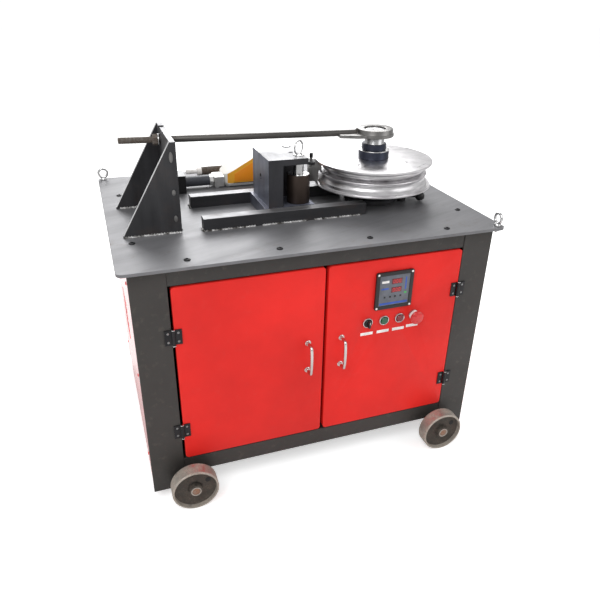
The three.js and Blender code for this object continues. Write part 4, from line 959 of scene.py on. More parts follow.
def build_switches(settings):
    """The four switches: bright bezels on the door, and caps on the moving stems."""
    r = settings.bezel_radius
    kinds = {
        "selector_knob": "black",
        "green_button": "green",
        "red_button": "maroon",
        "emergency_stop": "mushroom",
    }
    for node in SWITCHES:
        low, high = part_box(node)
        x, z = (low.x + high.x) / 2, (low.z + high.z) / 2
        body = body_name(node)
        stem_r = 10.6 * MM
        bezel = lathe(
            [
                (stem_r + 0.7 * MM, 0.1 * MM),
                (r, 0.1 * MM),
                (r, 2.5 * MM),
                (r - 1 * MM, 4.6 * MM),
                (r - 2.6 * MM, 5.4 * MM),
                (stem_r + 0.7 * MM, 4.2 * MM),
            ],
            (x, DOOR_FACE_Y, z),
            -Y_AXIS,
            40,
        )
        finish_mesh(f"{node}_bezel", bezel, finish("bright"), "right_door")
        nut_profile = disc_profile(14 * MM, 0, 4 * MM, 0.5 * MM, 11.8 * MM)
        nut = lathe(nut_profile, (x, DOOR_FACE_Y + 2.2 * MM, z), Y_AXIS, 24)
        finish_mesh(f"{node}_lock_nut", nut, finish("black"), "right_door")
        label = block(
            (x - 19 * MM, DOOR_FACE_Y - 0.5 * MM, z - 41 * MM),
            (x + 19 * MM, DOOR_FACE_Y + 0.1 * MM, z - 32 * MM),
            0.15 * MM,
        )
        finish_mesh(f"{node}_label", label, finish("white"), "right_door")
        back = high.y
        if node == "emergency_stop":
            head = high.x - x
            length = DOOR_FACE_Y - low.y
            whole = back - low.y
            profile = [
                (0, 0),
                (stem_r, 0),
                (stem_r, whole - 13 * MM),
                (head - 6 * MM, whole - 12 * MM),
                (head, whole - 9 * MM),
                (head, whole - 5 * MM),
                (head - 2 * MM, whole - 2.2 * MM),
                (head - 7 * MM, whole - 0.4 * MM),
                (0, whole),
            ]
            shape = lathe(profile, (x, back, z), -Y_AXIS, 48, closed=False)
            finish_mesh("emergency_stop_cap", shape, finish("mushroom"), body, (node,))
            collar = lathe(
                [
                    (stem_r + 0.3 * MM, 5.6 * MM),
                    (r - 2 * MM, 5.6 * MM),
                    (r - 3 * MM, length - 17.8 * MM),
                    (stem_r + 0.3 * MM, length - 17.8 * MM),
                ],
                (x, DOOR_FACE_Y, z),
                -Y_AXIS,
                40,
            )
            finish_mesh("emergency_stop_collar", collar, finish("white"), "right_door")
            continue
        proud = 8 * MM if node != "selector_knob" else 9 * MM
        total = back - DOOR_FACE_Y + proud
        crown = 0 if node == "selector_knob" else 0.4 * MM
        profile = [(0, 0), (stem_r, 0), (stem_r, total - 1.2 * MM)]
        profile += [(stem_r - 0.8 * MM, total - 0.2 * MM), (0, total + crown)]
        shape = lathe(profile, (x, back, z), -Y_AXIS, 48, closed=False)
        if node == "selector_knob":
            grip = block(
                (x - 3.2 * MM, low.y, z - 10 * MM),
                (x + 3.2 * MM, DOOR_FACE_Y - proud + 1 * MM, z + 10 * MM),
                1.4 * MM,
                3,
            )
            shape = joined(shape, grip)
            mark = block(
                (x - 0.8 * MM, low.y - 0.15 * MM, z + 2 * MM),
                (x + 0.8 * MM, low.y + 0.3 * MM, z + 9 * MM),
                0.1 * MM,
            )
            finish_mesh("selector_mark", mark, finish("white"), body)
        finish_mesh(f"{node}_cap", shape, finish(kinds[node]), body, (node,))


# ---------------------------------------------------------------- running gear


def build_wheels(settings):
    """Cast wheels with a thick rim, a dark sunk web with one hole, and a hub."""
    for end, sy in (("front", -1), ("back", 1)):
        for side in ("left", "right"):
            node = f"wheel_{end}_{side}"
            low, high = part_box(node)
            centre = (low + high) / 2
            radius = (high.z - low.z) / 2
            hub_half = (high.y - low.y) / 2
            face = hub_half - 2 * MM
            inner_r = radius - 7 * MM
            web = 6 * MM
            rim = lathe(
                [
                    (inner_r, -web),
                    (inner_r + 2 * MM, -face),
                    (radius - 2 * MM, -face),
                    (radius, -face + 2.4 * MM),
                    (radius, 0),
                    (radius, face - 2.4 * MM),
                    (radius - 2 * MM, face),
                    (inner_r + 2 * MM, face),
                    (inner_r, web),
                ],
                centre,
                Y_AXIS,
            )
            finish_mesh(f"{node}_rim", rim, finish("iron"), node, (node,))
            bore = 11.1 * MM
            hub_r = 19 * MM
            plate = lathe(
                [
                    (bore, -web),
                    (hub_r + 4 * MM, -web),
                    (hub_r + 9 * MM, -web + 2 * MM),
                    (inner_r - 8 * MM, -web + 2 * MM),
                    (inner_r + 0.5 * MM, -web - 3 * MM),
                    (inner_r + 0.5 * MM, web + 3 * MM),
                    (inner_r - 8 * MM, web - 2 * MM),
                    (hub_r + 9 * MM, web - 2 * MM),
                    (hub_r + 4 * MM, web),
                    (bore, web),
                ],
                centre,
                Y_AXIS,
            )
            finish_mesh(f"{node}_web", plate, finish("web"), node)
            hub = lathe(
                [
                    (bore, -hub_half),
                    (hub_r - 3 * MM, -hub_half),
                    (hub_r, -hub_half + 2 * MM),
                    (hub_r + 2 * MM, -web),
                    (hub_r + 2 * MM, web),
                    (hub_r, hub_half - 2 * MM),
                    (hub_r - 3 * MM, hub_half),
                    (bore, hub_half),
                ],
                centre,
                Y_AXIS,
                48,
            )
            finish_mesh(f"{node}_hub", hub, finish("web"), node)
            trim = [(bore, 0), (bore + 3.4 * MM, 0), (bore + 3.4 * MM, 0.5 * MM), (bore, 0.5 * MM)]
            bright_ring = lathe(trim, centre + Vector((0, sy * (hub_half - 0.2 * MM), 0)), Y_AXIS * sy, 48)
            finish_mesh(f"{node}_hub_ring", bright_ring, finish("iron"), node)
            # Painted shade: a flat black disc on the web stands in for the shadowed inside of its hole.
            at = centre + Vector((0.037, sy * (web - 1.6 * MM), 0.018))
            profile = [(0, 0), (8 * MM, 0), (7.6 * MM, 0.6 * MM), (0, 0.6 * MM)]
            hole = lathe(profile, at, Y_AXIS * sy, 24, closed=False)
            finish_mesh(f"{node}_hole", hole, finish("rubber"), node)
    for side in ("left", "right"):
        node = f"axle_{side}"
        low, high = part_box(node)
        centre = (low + high) / 2
        radius = (high.z - low.z) / 2
        shape = bar((centre.x, low.y, centre.z), (centre.x, high.y, centre.z), radius, 1.5 * MM, 48)
        finish_mesh(f"{node}_bar", shape, finish("axle"), "cabinet", (node,))


def build_lifting_eyes(settings):
    for node, normal in (("lifting_eye_back_left", Y_AXIS), ("lifting_eye_front_right", X_AXIS)):
        low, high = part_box(node)
        centre = (low + high) / 2
        wire = 4 * MM
        major = (high.x - low.x if normal == Y_AXIS else high.y - low.y) / 2 - wire
        ring_z = high.z - major - wire
        loop = ring_of((centre.x, centre.y, ring_z), normal, major, wire)
        profile = [(0, 0), (9.8 * MM, 0), (10 * MM, 1.2 * MM)]
        profile += [(9 * MM, 5 * MM), (5.5 * MM, 8.5 * MM), (0, 8.5 * MM)]
        collar = lathe(profile, (centre.x, centre.y, TABLE_Z + 0.3 * MM), Z_AXIS, ROUND, closed=False)
        shank = bar((centre.x, centre.y, low.z), (centre.x, centre.y, TABLE_Z + 1 * MM), 4 * MM, 0.8 * MM, 20)
        finish_mesh(node + "_eye", joined(loop, collar, shank), finish("bright"), "cabinet", (node,))
        nut_profile = disc_profile(7.5 * MM, -6.5 * MM, 0, 0.8 * MM, 4.2 * MM)
        nut = lathe(nut_profile, (centre.x, centre.y, TABLE_LOW.z - 0.3 * MM), Z_AXIS, 6)
        finish_mesh(node + "_nut", nut, finish("bright"), "cabinet")


# ---------------------------------------------------------------- spindle and die


def build_spindle(settings):
    low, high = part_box("spindle")
    die_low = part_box("die_base")[0].z
    collar_low, collar_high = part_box("spindle_collar")
    x, y = SPINDLE.x, SPINDLE.y
    base = (x, y, 0)
    shaft, neck, hub, flange = 30 * MM, 29.2 * MM, 54 * MM, 82 * MM
    hub_z = TABLE_Z + 0.8 * MM
    profile = [
        (0, low.z),
        (shaft - 2 * MM, low.z),
        (shaft, low.z + 2 * MM),
        (shaft, hub_z),
        (flange - 1.5 * MM, hub_z),
        (flange, hub_z + 1.5 * MM),
        (flange, hub_z + 12 * MM),
        (flange - 2 * MM, hub_z + 14 * MM),
        (hub + 3 * MM, hub_z + 15 * MM),
        (hub, hub_z + 18 * MM),
        (hub, die_low - 0.5 * MM),
        (shaft, die_low - 0.5 * MM),
        (shaft, collar_high.z - 0.2 * MM),
        (neck, collar_high.z + 1 * MM),
        (neck, high.z - 2.4 * MM),
        (neck - 0.7 * MM, high.z - 0.7 * MM),
        (neck - 2.4 * MM, high.z),
        (7 * MM, high.z),
        (5 * MM, high.z - 1.2 * MM),
        (0, high.z - 2 * MM),
    ]
    turned = lathe(profile, base, closed=False)
    shaft_piece = finish_mesh("spindle_shaft", turned, finish("spindle"), "spindle", ("spindle",))

    # Painted shade: the hub and flange under the die get the nearly black plate finish.
    def on_hub(centre, normal):
        return math.hypot(centre.x - x, centre.y - y) > shaft + 4 * MM

    refinish(shaft_piece, finish("plate"), on_hub)
    bore = shaft + 0.3 * MM
    wide_r = (collar_high.x - collar_low.x) / 2
    step_z = collar_low.z + 25.5 * MM
    lower = lathe(disc_profile(wide_r, collar_low.z, step_z - 2.6 * MM, 1.2 * MM, bore), base)
    finish_mesh("spindle_wide_collar", lower, finish("collar"), "spindle", ("spindle_collar",))
    profile = disc_profile(wide_r - 0.4 * MM, step_z - 2.5 * MM, step_z + 0.2 * MM, 0.7 * MM, bore)
    washer = lathe(profile, base)
    finish_mesh("spindle_washer", washer, finish("bright"), "spindle")
    nut = lathe(disc_profile(36.5 * MM, step_z + 0.3 * MM, collar_high.z, 1.4 * MM, bore), base)
    finish_mesh("spindle_lock_nut", nut, finish("collar"), "spindle")


def build_die(settings):
    """Four turned rings stacked on the hub, with a rounded bead and a dark gap under the top plate."""
    base_low, base_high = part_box("die_base")
    bead_low, bead_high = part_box("die_bead_ring")
    top_low, top_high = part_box("die_top_plate")
    centre = (SPINDLE.x, SPINDLE.y, 0)
    bore = 30.3 * MM
    plate_r = (base_high.x - base_low.x) / 2
    ring_r = 165 * MM
    bead_r = (bead_high.x - bead_low.x) / 2
    z0, z1 = base_low.z, base_high.z
    lip = z0 + 4.5 * MM
    profile = [
        (bore, z0),
        (plate_r - 1.2 * MM, z0),
        (plate_r, z0 + 1.2 * MM),
        (plate_r, lip - 1.2 * MM),
        (plate_r - 1.2 * MM, lip),
        (ring_r + 2.5 * MM, lip + 0.4 * MM),
        (ring_r, lip + 2.5 * MM),
        (ring_r - 0.5 * MM, z1 - 24 * MM),
        (ring_r - 4 * MM, z1 - 20.5 * MM),
        (ring_r - 6 * MM, z1 - 16 * MM),
        (ring_r - 6.5 * MM, z1 - 11 * MM),
        (ring_r - 5 * MM, z1 - 6.5 * MM),
        (ring_r - 3 * MM, z1 - 4.5 * MM),
        (ring_r - 1.8 * MM, z1 - 2.2 * MM),
        (ring_r - 2.4 * MM, z1 - 0.6 * MM),
        (ring_r - 4 * MM, z1),
        (bore, z1),
    ]
    finish_mesh("die_lower_ring", lathe(profile, centre, sides=160), finish("die"), "spindle", ("die_base",))
    mid, half = (bead_low.z + bead_high.z) / 2 + 1 * MM, 9 * MM
    bead = []
    for step in range(9):
        angle = -math.pi / 2 + step * math.pi / 8
        bead.append((bead_r - 8.5 * MM + 8.5 * MM * math.cos(angle), mid + half * math.sin(angle)))
    profile = [(bore, z1 + 0.3 * MM), (140 * MM, z1 + 0.3 * MM), *bead, (140 * MM, mid + half + 1 * MM)]
    profile += [(140 * MM, top_low.z - 0.3 * MM), (bore, top_low.z - 0.3 * MM)]
    finish_mesh("die_bead", lathe(profile, centre, sides=160), finish("die"), "spindle", ("die_bead_ring",))
    top = lathe(disc_profile(plate_r, top_low.z, top_high.z, 1.4 * MM, bore), centre, sides=160)
    finish_mesh("die_cover", top, finish("die"), "spindle", ("die_top_plate",))
    bolts = []
    for index in range(4):
        angle = math.radians(40 + 90 * index)
        at = (SPINDLE.x + 0.105 * math.cos(angle), SPINDLE.y + 0.105 * math.sin(angle), top_high.z)
        bolts.append(screw_head(*at, 6 * MM, 1.2 * MM))
    finish_mesh("die_cover_screws", joined(*bolts), finish("bright"), "spindle")


def build_clamp(settings):
    """The hook that grips the work: a dark wedge on a pale bracket, with an upright locking pin."""
    softened("pipe_clamp", finish("arm"), 1.5 * MM, 3)
    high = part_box("pipe_clamp")[1]
    angle = math.radians(165)
    out = Vector((math.cos(angle), math.sin(angle), 0))
    across = Vector((-out.y, out.x, 0))
    hub = Vector((SPINDLE.x, SPINDLE.y, 0))
    place = Matrix((
        (out.x, across.x, 0, hub.x),
        (out.y, across.y, 0, hub.y),
        (0, 0, 1, 0),
        (0, 0, 0, 1),
    ))
    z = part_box("die_top_plate")[0].z
    wedge = prism(
        [(0.161, 0.0), (0.2, -0.026), (0.204, 0.022), (0.182, 0.026)],
        "Z",
        z - 9 * MM,
        z - 1.2 * MM,
        0.8 * MM,
    )
    bmesh.ops.transform(wedge, verts=wedge.verts, matrix=place)
    finish_mesh("clamp_wedge", wedge, finish("plate"), "spindle")
    knob_at = hub + out * 0.1885
    knob_foot = (knob_at.x, knob_at.y, high.z - 14 * MM)
    knob = bar(knob_foot, (knob_at.x, knob_at.y, high.z), 5.4 * MM, 1.2 * MM, 24)
    finish_mesh("clamp_pin_grip", knob, finish("black_steel"), "spindle")


# ---------------------------------------------------------------- the drive inside


def build_drive(settings):
    for node in ("spindle_gear", "drive_pinion"):
        keep_node(node, finish("plate"))
    keep_node("bearing_housing", finish("web"))
    softened("gearbox", finish("grey"), 4 * MM, 3)
    softened("electrical_box", finish("grey"), 3 * MM, 3)
    low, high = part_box("gearbox")
    x, y = (low.x + high.x) / 2, (low.y + high.y) / 2
    studs = []
    for sx in (-1, 1):
        for sy in (-1, 1):
            at = (x + sx * 0.075, y + sy * 0.075, high.z)
            studs.append(lathe(disc_profile(8 * MM, 0, 6 * MM, 0.8 * MM), at, Z_AXIS, 6))
    finish_mesh("gearbox_bolts", joined(*studs), finish("bright"), "cabinet")
    motor_low, motor_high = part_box("drive_motor")
    softened("drive_motor", finish("grey"), 2 * MM, 2)
    fins = []
    radius = 80 * MM
    for index in range(36):
        angle = TAU * index / 36
        if abs(math.cos(angle) + 1) < 0.18:
            continue
        inner = (radius - 1 * MM, -1 * MM, motor_low.z + 0.03)
        outer = (radius + 7 * MM, 1 * MM, motor_high.z - 0.03)
        fin = block(inner, outer, 0.5 * MM, 1)
        turn = Matrix.Translation((x, y, 0)) @ Matrix.Rotation(angle, 4, "Z")
        bmesh.ops.transform(fin, verts=fin.verts, matrix=turn)
        fins.append(fin)
    finish_mesh("motor_fins", joined(*fins), finish("grey"), "cabinet")
    low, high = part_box("electrical_box")
    lid_low = (low.x + 8 * MM, low.y - 3 * MM, low.z + 8 * MM)
    lid = block(lid_low, (high.x - 8 * MM, low.y, high.z - 8 * MM), 1.5 * MM)
    finish_mesh("electrical_box_lid", lid, finish("grey_face"), "cabinet")
    locks = []
    for share in (0.2, 0.8):
        at = (high.x - 25 * MM, low.y - 3 * MM, low.z + share * (high.z - low.z))
        locks.append(lathe(disc_profile(9 * MM, 0, 4 * MM, 1 * MM), at, -Y_AXIS, 24))
    finish_mesh("electrical_box_locks", joined(*locks), finish("black"), "cabinet")


# ---------------------------------------------------------------- bracket and tie rod


def build_bracket(settings):
    """Flame-cut gussets with bright sloping edges, plug welds through the near one, and their beads."""
    for node in ("near_gusset", "far_gusset", "bracket_plate"):
        piece = softened(node, finish("plate"), settings.edge)
        # Painted highlight: the top faces get a lighter copy of the dark plate.
        refinish(piece, finish("plate_top"), facing(Z_AXIS))
    low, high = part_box("near_gusset")
    plate_low, plate_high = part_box("bracket_plate")
    far_low, far_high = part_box("far_gusset")
    foot, tip = Vector((low.x, 0, low.z)), Vector((plate_low.x, 0, high.z))
    slope = (tip - foot).normalized()
    away = Vector((-slope.z, 0, slope.x))
    # A bare cut-edge strip along each sloping edge, brightened as painted highlight.
    for name, box in (("near", (low, high)), ("far", (far_low, far_high))):
        start, end = foot + slope * 4 * MM, tip - slope * 1 * MM
        shape = prism(
            [
                (start.x, start.z),
                (end.x, end.z),
                (end.x + away.x * 0.5 * MM, end.z + away.z * 0.5 * MM),
                (start.x + away.x * 0.5 * MM, start.z + away.z * 0.5 * MM),
            ],
            "Y",
            box[0].y + 0.8 * MM,
            box[1].y - 0.8 * MM,
            0.15 * MM,
            1,
        )
        finish_mesh(f"{name}_gusset_cut_edge", shape, finish("cut_edge"), "cabinet")
    r = settings.bead
    z = TABLE_Z + 0.6 * MM
    weld = finish("weld")
    for name, y, x0, x1 in (
        ("near_gusset_bead", low.y - 0.2 * MM, low.x + 3 * MM, high.x - 2 * MM),
        ("near_gusset_inner_bead", high.y + 0.2 * MM, low.x + 30 * MM, plate_low.x - 2 * MM),
        ("far_gusset_bead", far_low.y - 0.2 * MM, low.x + 10 * MM, plate_low.x - 2 * MM),
        ("far_gusset_outer_bead", far_high.y + 0.2 * MM, low.x + 5 * MM, high.x - 4 * MM),
    ):
        weld_bead(name, (x0, y, z), (x1, y, z), r, "cabinet", weld)
    for name, x in (
        ("bracket_foot_bead", plate_high.x + 0.2 * MM),
        ("bracket_back_bead", plate_low.x - 0.2 * MM),
    ):
        weld_bead(name, (x, plate_low.y + 3 * MM, z), (x, plate_high.y - 3 * MM, z), r, "cabinet", weld)
    plugs = []
    plug_x = plate_low.x + 1 * MM
    for height, half in ((39 * MM, 9 * MM), (109 * MM, 8 * MM), (200 * MM, 14 * MM)):
        at = (plug_x, low.y + 0.2 * MM, TABLE_Z + height)
        profile = [(0, 0), (5 * MM, 0), (4.6 * MM, 1.2 * MM), (2.4 * MM, 2.2 * MM), (0, 2.5 * MM)]
        plug = lathe(profile, at, -Y_AXIS, 24, closed=False)
        taller = Matrix.Diagonal((1, 1, half / (5 * MM), 1))
        stretch = Matrix.Translation(at) @ taller @ Matrix.Translation(-Vector(at))
        bmesh.ops.transform(plug, verts=plug.verts, matrix=stretch)
        plugs.append(plug)
    finish_mesh("gusset_plug_welds", joined(*plugs), finish("arm"), "cabinet")
    pin_y = far_high.y - 2 * MM
    pin_z = far_high.z - 9 * MM
    pin_x = far_high.x - 7 * MM
    pin = bar((pin_x, pin_y, pin_z), (pin_x, pin_y + 25 * MM, pin_z), 3 * MM, 0.6 * MM, 20)
    finish_mesh("far_gusset_pin", pin, finish("dull"), "cabinet")


def rod_frame():
    """The rod's own frame: +X along it from the spindle's axis towards the bracket."""
    nut = middle("tie_rod_nut")
    axis_z = nut.z
    start = Vector((SPINDLE.x, SPINDLE.y, axis_z))
    along = Vector((nut.x, nut.y, axis_z)) - start
    along.normalize()
    return start, along


def build_tie_rod(settings):
    """A round bar welded to a flat arm that ends in an eye, with a rusty thread and nut at the bracket."""
    start, along = rod_frame()
    across = Vector((-along.y, along.x, 0))
    place = Matrix((
        (along.x, across.x, 0, start.x),
        (along.y, across.y, 0, start.y),
        (0, 0, 1, start.z),
        (0, 0, 0, 1),
    ))
    low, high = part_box("tie_rod")
    radius = 9 * MM
    thread_from = 0.629
    length = (start.x - low.x) / abs(along.x) - radius * abs(along.y)
    eye_low, eye_high = low.z - start.z, high.z - start.z

    def put(name, shape, kind, replaces=(), body="tie_rod"):
        bmesh.ops.transform(shape, verts=shape.verts, matrix=place)
        return finish_mesh(name, shape, finish(kind), body, replaces)

    shape = bar((0.056, 0, 0), (thread_from + 4 * MM, 0, 0), radius, 0.5 * MM, 40)
    put("tie_rod_bar", shape, "rod", ("tie_rod",))
    profile = [(0, thread_from)]
    turns = settings.thread_turns
    pitch = (length - thread_from - 2 * MM) / turns
    for turn in range(turns):
        z = thread_from + turn * pitch
        profile += [(radius - 0.9 * MM, z), (radius - 0.05 * MM, z + pitch / 2)]
    profile += [(radius - 1 * MM, length - 1.5 * MM), (radius - 2 * MM, length), (0, length)]
    put("tie_rod_thread", lathe(profile, (0, 0, 0), X_AXIS, ROUND, closed=False), "rust")
    plate_top = eye_low + 9.5 * MM
    half_tip, half_root = 25 * MM, 40 * MM
    arm = prism(
        [
            (0.115, -half_tip),
            (0.062, -half_root),
            (0.030, -half_root),
            (0.030, half_root),
            (0.062, half_root),
            (0.115, half_tip),
        ],
        "Z",
        eye_low + 0.1 * MM,
        plate_top - 0.1 * MM,
        1.4 * MM,
        3,
    )
    put("tie_rod_arm", arm, "arm")
    hole = 32.2 * MM
    outer, upper = 56 * MM, 53 * MM
    ring = lathe(
        [
            (hole, eye_low + 1 * MM),
            (hole + 1 * MM, eye_low),
            (outer - 1.4 * MM, eye_low),
            (outer, eye_low + 1.4 * MM),
            (outer, plate_top - 1.4 * MM),
            (outer - 1.4 * MM, plate_top),
            (upper + 0.3 * MM, plate_top),
            (upper, plate_top + 0.5 * MM),
            (upper, eye_high - 2 * MM),
            (upper - 0.6 * MM, eye_high - 0.6 * MM),
            (upper - 2 * MM, eye_high),
            (hole + 1.5 * MM, eye_high),
            (hole, eye_high - 1.5 * MM),
        ],
        (0, 0, 0),
    )
    put("tie_rod_eye", ring, "arm")
    bead = ring_of((0.0568, 0, 0.5 * MM), X_AXIS, radius + 1 * MM, 2.4 * MM, 40, 10)
    put("tie_rod_weld", bead, "weld")
    nut_at = (start - middle("tie_rod_nut")).length
    half = 9 * MM
    bore = radius + 0.5 * MM
    flats = 13.5 * MM / math.cos(math.pi / 6)
    profile = disc_profile(flats, nut_at - half + 2.5 * MM, nut_at + half - 0.5 * MM, 1.6 * MM, bore)
    nut = lathe(profile, (0, 0, 0), X_AXIS, 6)
    put("tie_rod_hex_nut", nut, "rust", ("tie_rod_nut",), "tie_rod_nut")
    near = nut_at - half
    profile = disc_profile(17 * MM, near - 0.4 * MM, near + 2.4 * MM, 0.6 * MM, bore + 1.8 * MM)
    washer = lathe(profile, (0, 0, 0), X_AXIS, 40)
    put("tie_rod_nut_washer", washer, "bright", (), "tie_rod_nut")


# ---------------------------------------------------------------- guides, block and roller


def build_guides(settings):
    r = settings.bead
    for name in ("front", "back"):
        node = f"{name}_guide_rail"
        piece = softened(node, finish("guide"), 1 * MM)
        # Painted highlight: the top faces get a lighter copy of the guide steel.
        refinish(piece, finish("guide_top"), facing(Z_AXIS))
        low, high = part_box(node)
        z = TABLE_Z + 0.8 * MM
        spans = ((0.0, 0.3), (0.34, 0.62), (0.66, 0.97))
        for index, (a, b) in enumerate(spans):
            for side, y in (("outer", low.y - 0.3 * MM), ("inner", high.y + 0.3 * MM)):
                if (side == "inner") == (name == "front"):
                    continue
                x0, x1 = low.x + a * (high.x - low.x), low.x + b * (high.x - low.x)
                bead_name = f"{node}_bead_{index + 1}"
                weld_bead(bead_name, (x0, y, z), (x1, y, z), r * 0.85, "cabinet", finish("weld"))
        x = low.x - 0.3 * MM
        weld_bead(f"{node}_end_bead", (x, low.y, z), (x, high.y, z), r, "cabinet", finish("weld"))


def build_roller_block(settings):
    """The welded block with its pin hole, the browned roller under its arm, and the ringed pin."""
    piece = softened("roller_block", finish("block"), 1 * MM)
    low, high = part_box("roller_block")
    # Painted shade: the front, right and under faces get a nearly black copy of the block steel. Painted
    # highlight: the brushed top faces get a lighter copy.
    refinish(piece, finish("block_dark"), facing(-Y_AXIS))
    refinish(piece, finish("block_dark"), facing(X_AXIS))
    refinish(piece, finish("block_dark"), facing(-Z_AXIS))
    refinish(piece, finish("block_top"), lambda centre, normal: normal.z > 0.8 and centre.z > high.z - 2 * MM)
    at = (middle("roller_pin").x - 1 * MM, -0.0067, high.z)
    disc = lathe(disc_profile(13 * MM, -0.3 * MM, 3 * MM, 1 * MM), at, Z_AXIS, 40)
    finish_mesh("block_bright_plug", disc, finish("bright"), "roller_block")
    rim = ring_of((low.x + 11.2 * MM, -0.072, 0.8285), X_AXIS, 8.4 * MM, 0.7 * MM, 32, 8)
    finish_mesh("block_screw_hole_rim", rim, finish("plate"), "roller_block")
    foot_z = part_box("front_guide_rail")[1].z + 1.2 * MM
    web_right = low.x + 11 * MM + 42 * MM
    ends = [(web_right + 1 * MM, y, foot_z) for y in (-0.147, 0.004)]
    weld_bead("block_web_bead", *ends, 2.4 * MM, "roller_block", finish("weld"))
    r_low, r_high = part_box("press_roller")
    radius = (r_high.x - r_low.x) / 2
    bore = 15.5 * MM
    profile = [
        (bore, r_low.z),
        (radius - 2.5 * MM, r_low.z),
        (radius - 0.7 * MM, r_low.z + 0.7 * MM),
        (radius, r_low.z + 2.5 * MM),
        (radius, r_high.z - 2.5 * MM),
        (radius - 0.7 * MM, r_high.z - 0.7 * MM),
        (radius - 2.5 * MM, r_high.z),
        (bore + 1 * MM, r_high.z),
        (bore, r_high.z - 1 * MM),
    ]
    axis_at = (ROLLER.x, ROLLER.y, 0)
    sleeve = lathe(profile, axis_at)
    finish_mesh("roller_sleeve", sleeve, finish("roller"), "press_roller", ("press_roller",))
    top = r_high.z
    profile = disc_profile(radius - 3.5 * MM, top - 0.2 * MM, top + 0.15 * MM, 0.1 * MM, bore + 1.4 * MM)
    face = lathe(profile, axis_at)
    finish_mesh("roller_bright_face", face, finish("bright"), "press_roller")
    p_low, p_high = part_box("roller_pin")
    pin_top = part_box("roller_block")[1].z + 3 * MM
    profile = disc_profile(15 * MM, p_low.z, pin_top, 2 * MM)
    shaft = lathe(profile, axis_at, Z_AXIS, 48)
    finish_mesh("roller_pin_shaft", shaft, finish("bright"), "roller_pin", ("roller_pin",))
    turn = math.radians(36)
    normal = Vector((-math.sin(turn), math.cos(turn), 0))
    loop = ring_of((ROLLER.x, ROLLER.y, p_high.z - 19 * MM - 2.6 * MM), normal, 19 * MM, 2.6 * MM)
    finish_mesh("roller_pin_ring", loop, finish("bright"), "roller_pin")


# ---------------------------------------------------------------- foot switch and loose pieces


def build_foot_switch(settings):
    """The guarded foot switch that lies on the table, with its conduit, box and the spare screw."""
    softened("foot_switch_base", finish("aluminium"), 1.2 * MM)
    # Painted highlight: the hood is near white except for its two long sides, which keep the yellow paint.
    hood = softened("foot_switch_hood", finish("pale"), 1.6 * MM, 3)
    refinish(hood, finish("yellow"), facing(-Y_AXIS))
    refinish(hood, finish("yellow"), facing(Y_AXIS))
    softened("foot_pedal", finish("black"), 1 * MM)
    low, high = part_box("foot_switch_hood")
    panel = prism(
        [
            (low.x + 34 * MM, TABLE_Z + 18 * MM),
            (high.x - 6 * MM, TABLE_Z + 18 * MM),
            (high.x - 6 * MM, TABLE_Z + 80 * MM),
            (low.x + 94 * MM, TABLE_Z + 76 * MM),
            (low.x + 34 * MM, TABLE_Z + 43 * MM),
        ],
        "Y",
        low.y - 1.4 * MM,
        low.y + 0.4 * MM,
        0.8 * MM,
        2,
    )
    finish_mesh("hood_side_panel", panel, finish("orange"), "cabinet")
    seam_z = TABLE_Z + 12.4 * MM
    seam_low = (low.x + 30 * MM, low.y - 0.7 * MM, seam_z)
    seam = block(seam_low, (high.x, low.y + 0.5 * MM, seam_z + 1.8 * MM), 0.3 * MM)
    finish_mesh("hood_seam", seam, finish("rubber"), "cabinet")
    pads_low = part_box("foot_switch_base")[0]
    gland_y = pads_low.y + 32 * MM
    conduit_z = TABLE_Z + 20.8 * MM
    gland = lathe(
        [(17 * MM, 0), (19 * MM, 1 * MM), (19 * MM, 12 * MM), (17 * MM, 14 * MM)],
        (pads_low.x - 14.3 * MM, gland_y, conduit_z),
        X_AXIS,
        8,
    )
    finish_mesh("conduit_gland", gland, finish("aluminium"), "cabinet")
    low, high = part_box("conduit_box")
    carton = softened("conduit_box", finish("black"), 1 * MM)
    # Painted highlight: the box's top face is light grey, and its other faces stay black.
    refinish(carton, finish("lid"), lambda centre, normal: normal.z > 0.8 and centre.z > high.z - 2 * MM)
    refinish(carton, finish("conduit"), lambda centre, normal: centre.x > low.x + 28 * MM)
    ribs = []
    x = low.x + 34 * MM
    while x < high.x - 18 * MM:
        ribs.append(ring_of((x, gland_y, conduit_z), X_AXIS, 16 * MM, 0.9 * MM, 28, 6))
        x += 4.2 * MM
    finish_mesh("conduit_ribs", joined(*ribs), finish("conduit"), "cabinet")
    low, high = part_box("spare_screw")
    radius = (high.z - low.z) / 2
    y, z = (low.y + high.y) / 2, (low.z + high.z) / 2
    tip_r, tip = 8 * MM, 54 * MM
    profile = [(0, tip - 1 * MM), (radius - 1 * MM, tip - 1 * MM), (radius, tip)]
    turns = 50
    pitch = (high.x - low.x - tip - 3 * MM) / turns
    for turn in range(turns):
        at = tip + turn * pitch
        profile += [(radius - 1.5 * MM, at + pitch * 0.25), (radius - 0.1 * MM, at + pitch * 0.75)]
    profile += [(radius - 2 * MM, high.x - low.x - 1 * MM), (0, high.x - low.x)]
    tip_profile = [(0, 0), (tip_r - 1 * MM, 0), (tip_r, 1 * MM), (tip_r, tip - 16 * MM)]
    tip_profile += [(radius - 0.5 * MM, tip - 15 * MM), (radius - 0.5 * MM, tip), (0, tip)]
    end_at = (low.x, y, z)
    shape = lathe(tip_profile, end_at, X_AXIS, ROUND, closed=False)
    finish_mesh("spare_screw_tip", shape, finish("white"), "cabinet")
    shape = lathe(profile, end_at, X_AXIS, ROUND, closed=False)
    finish_mesh("spare_screw_thread", shape, finish("rust"), "cabinet", ("spare_screw",))


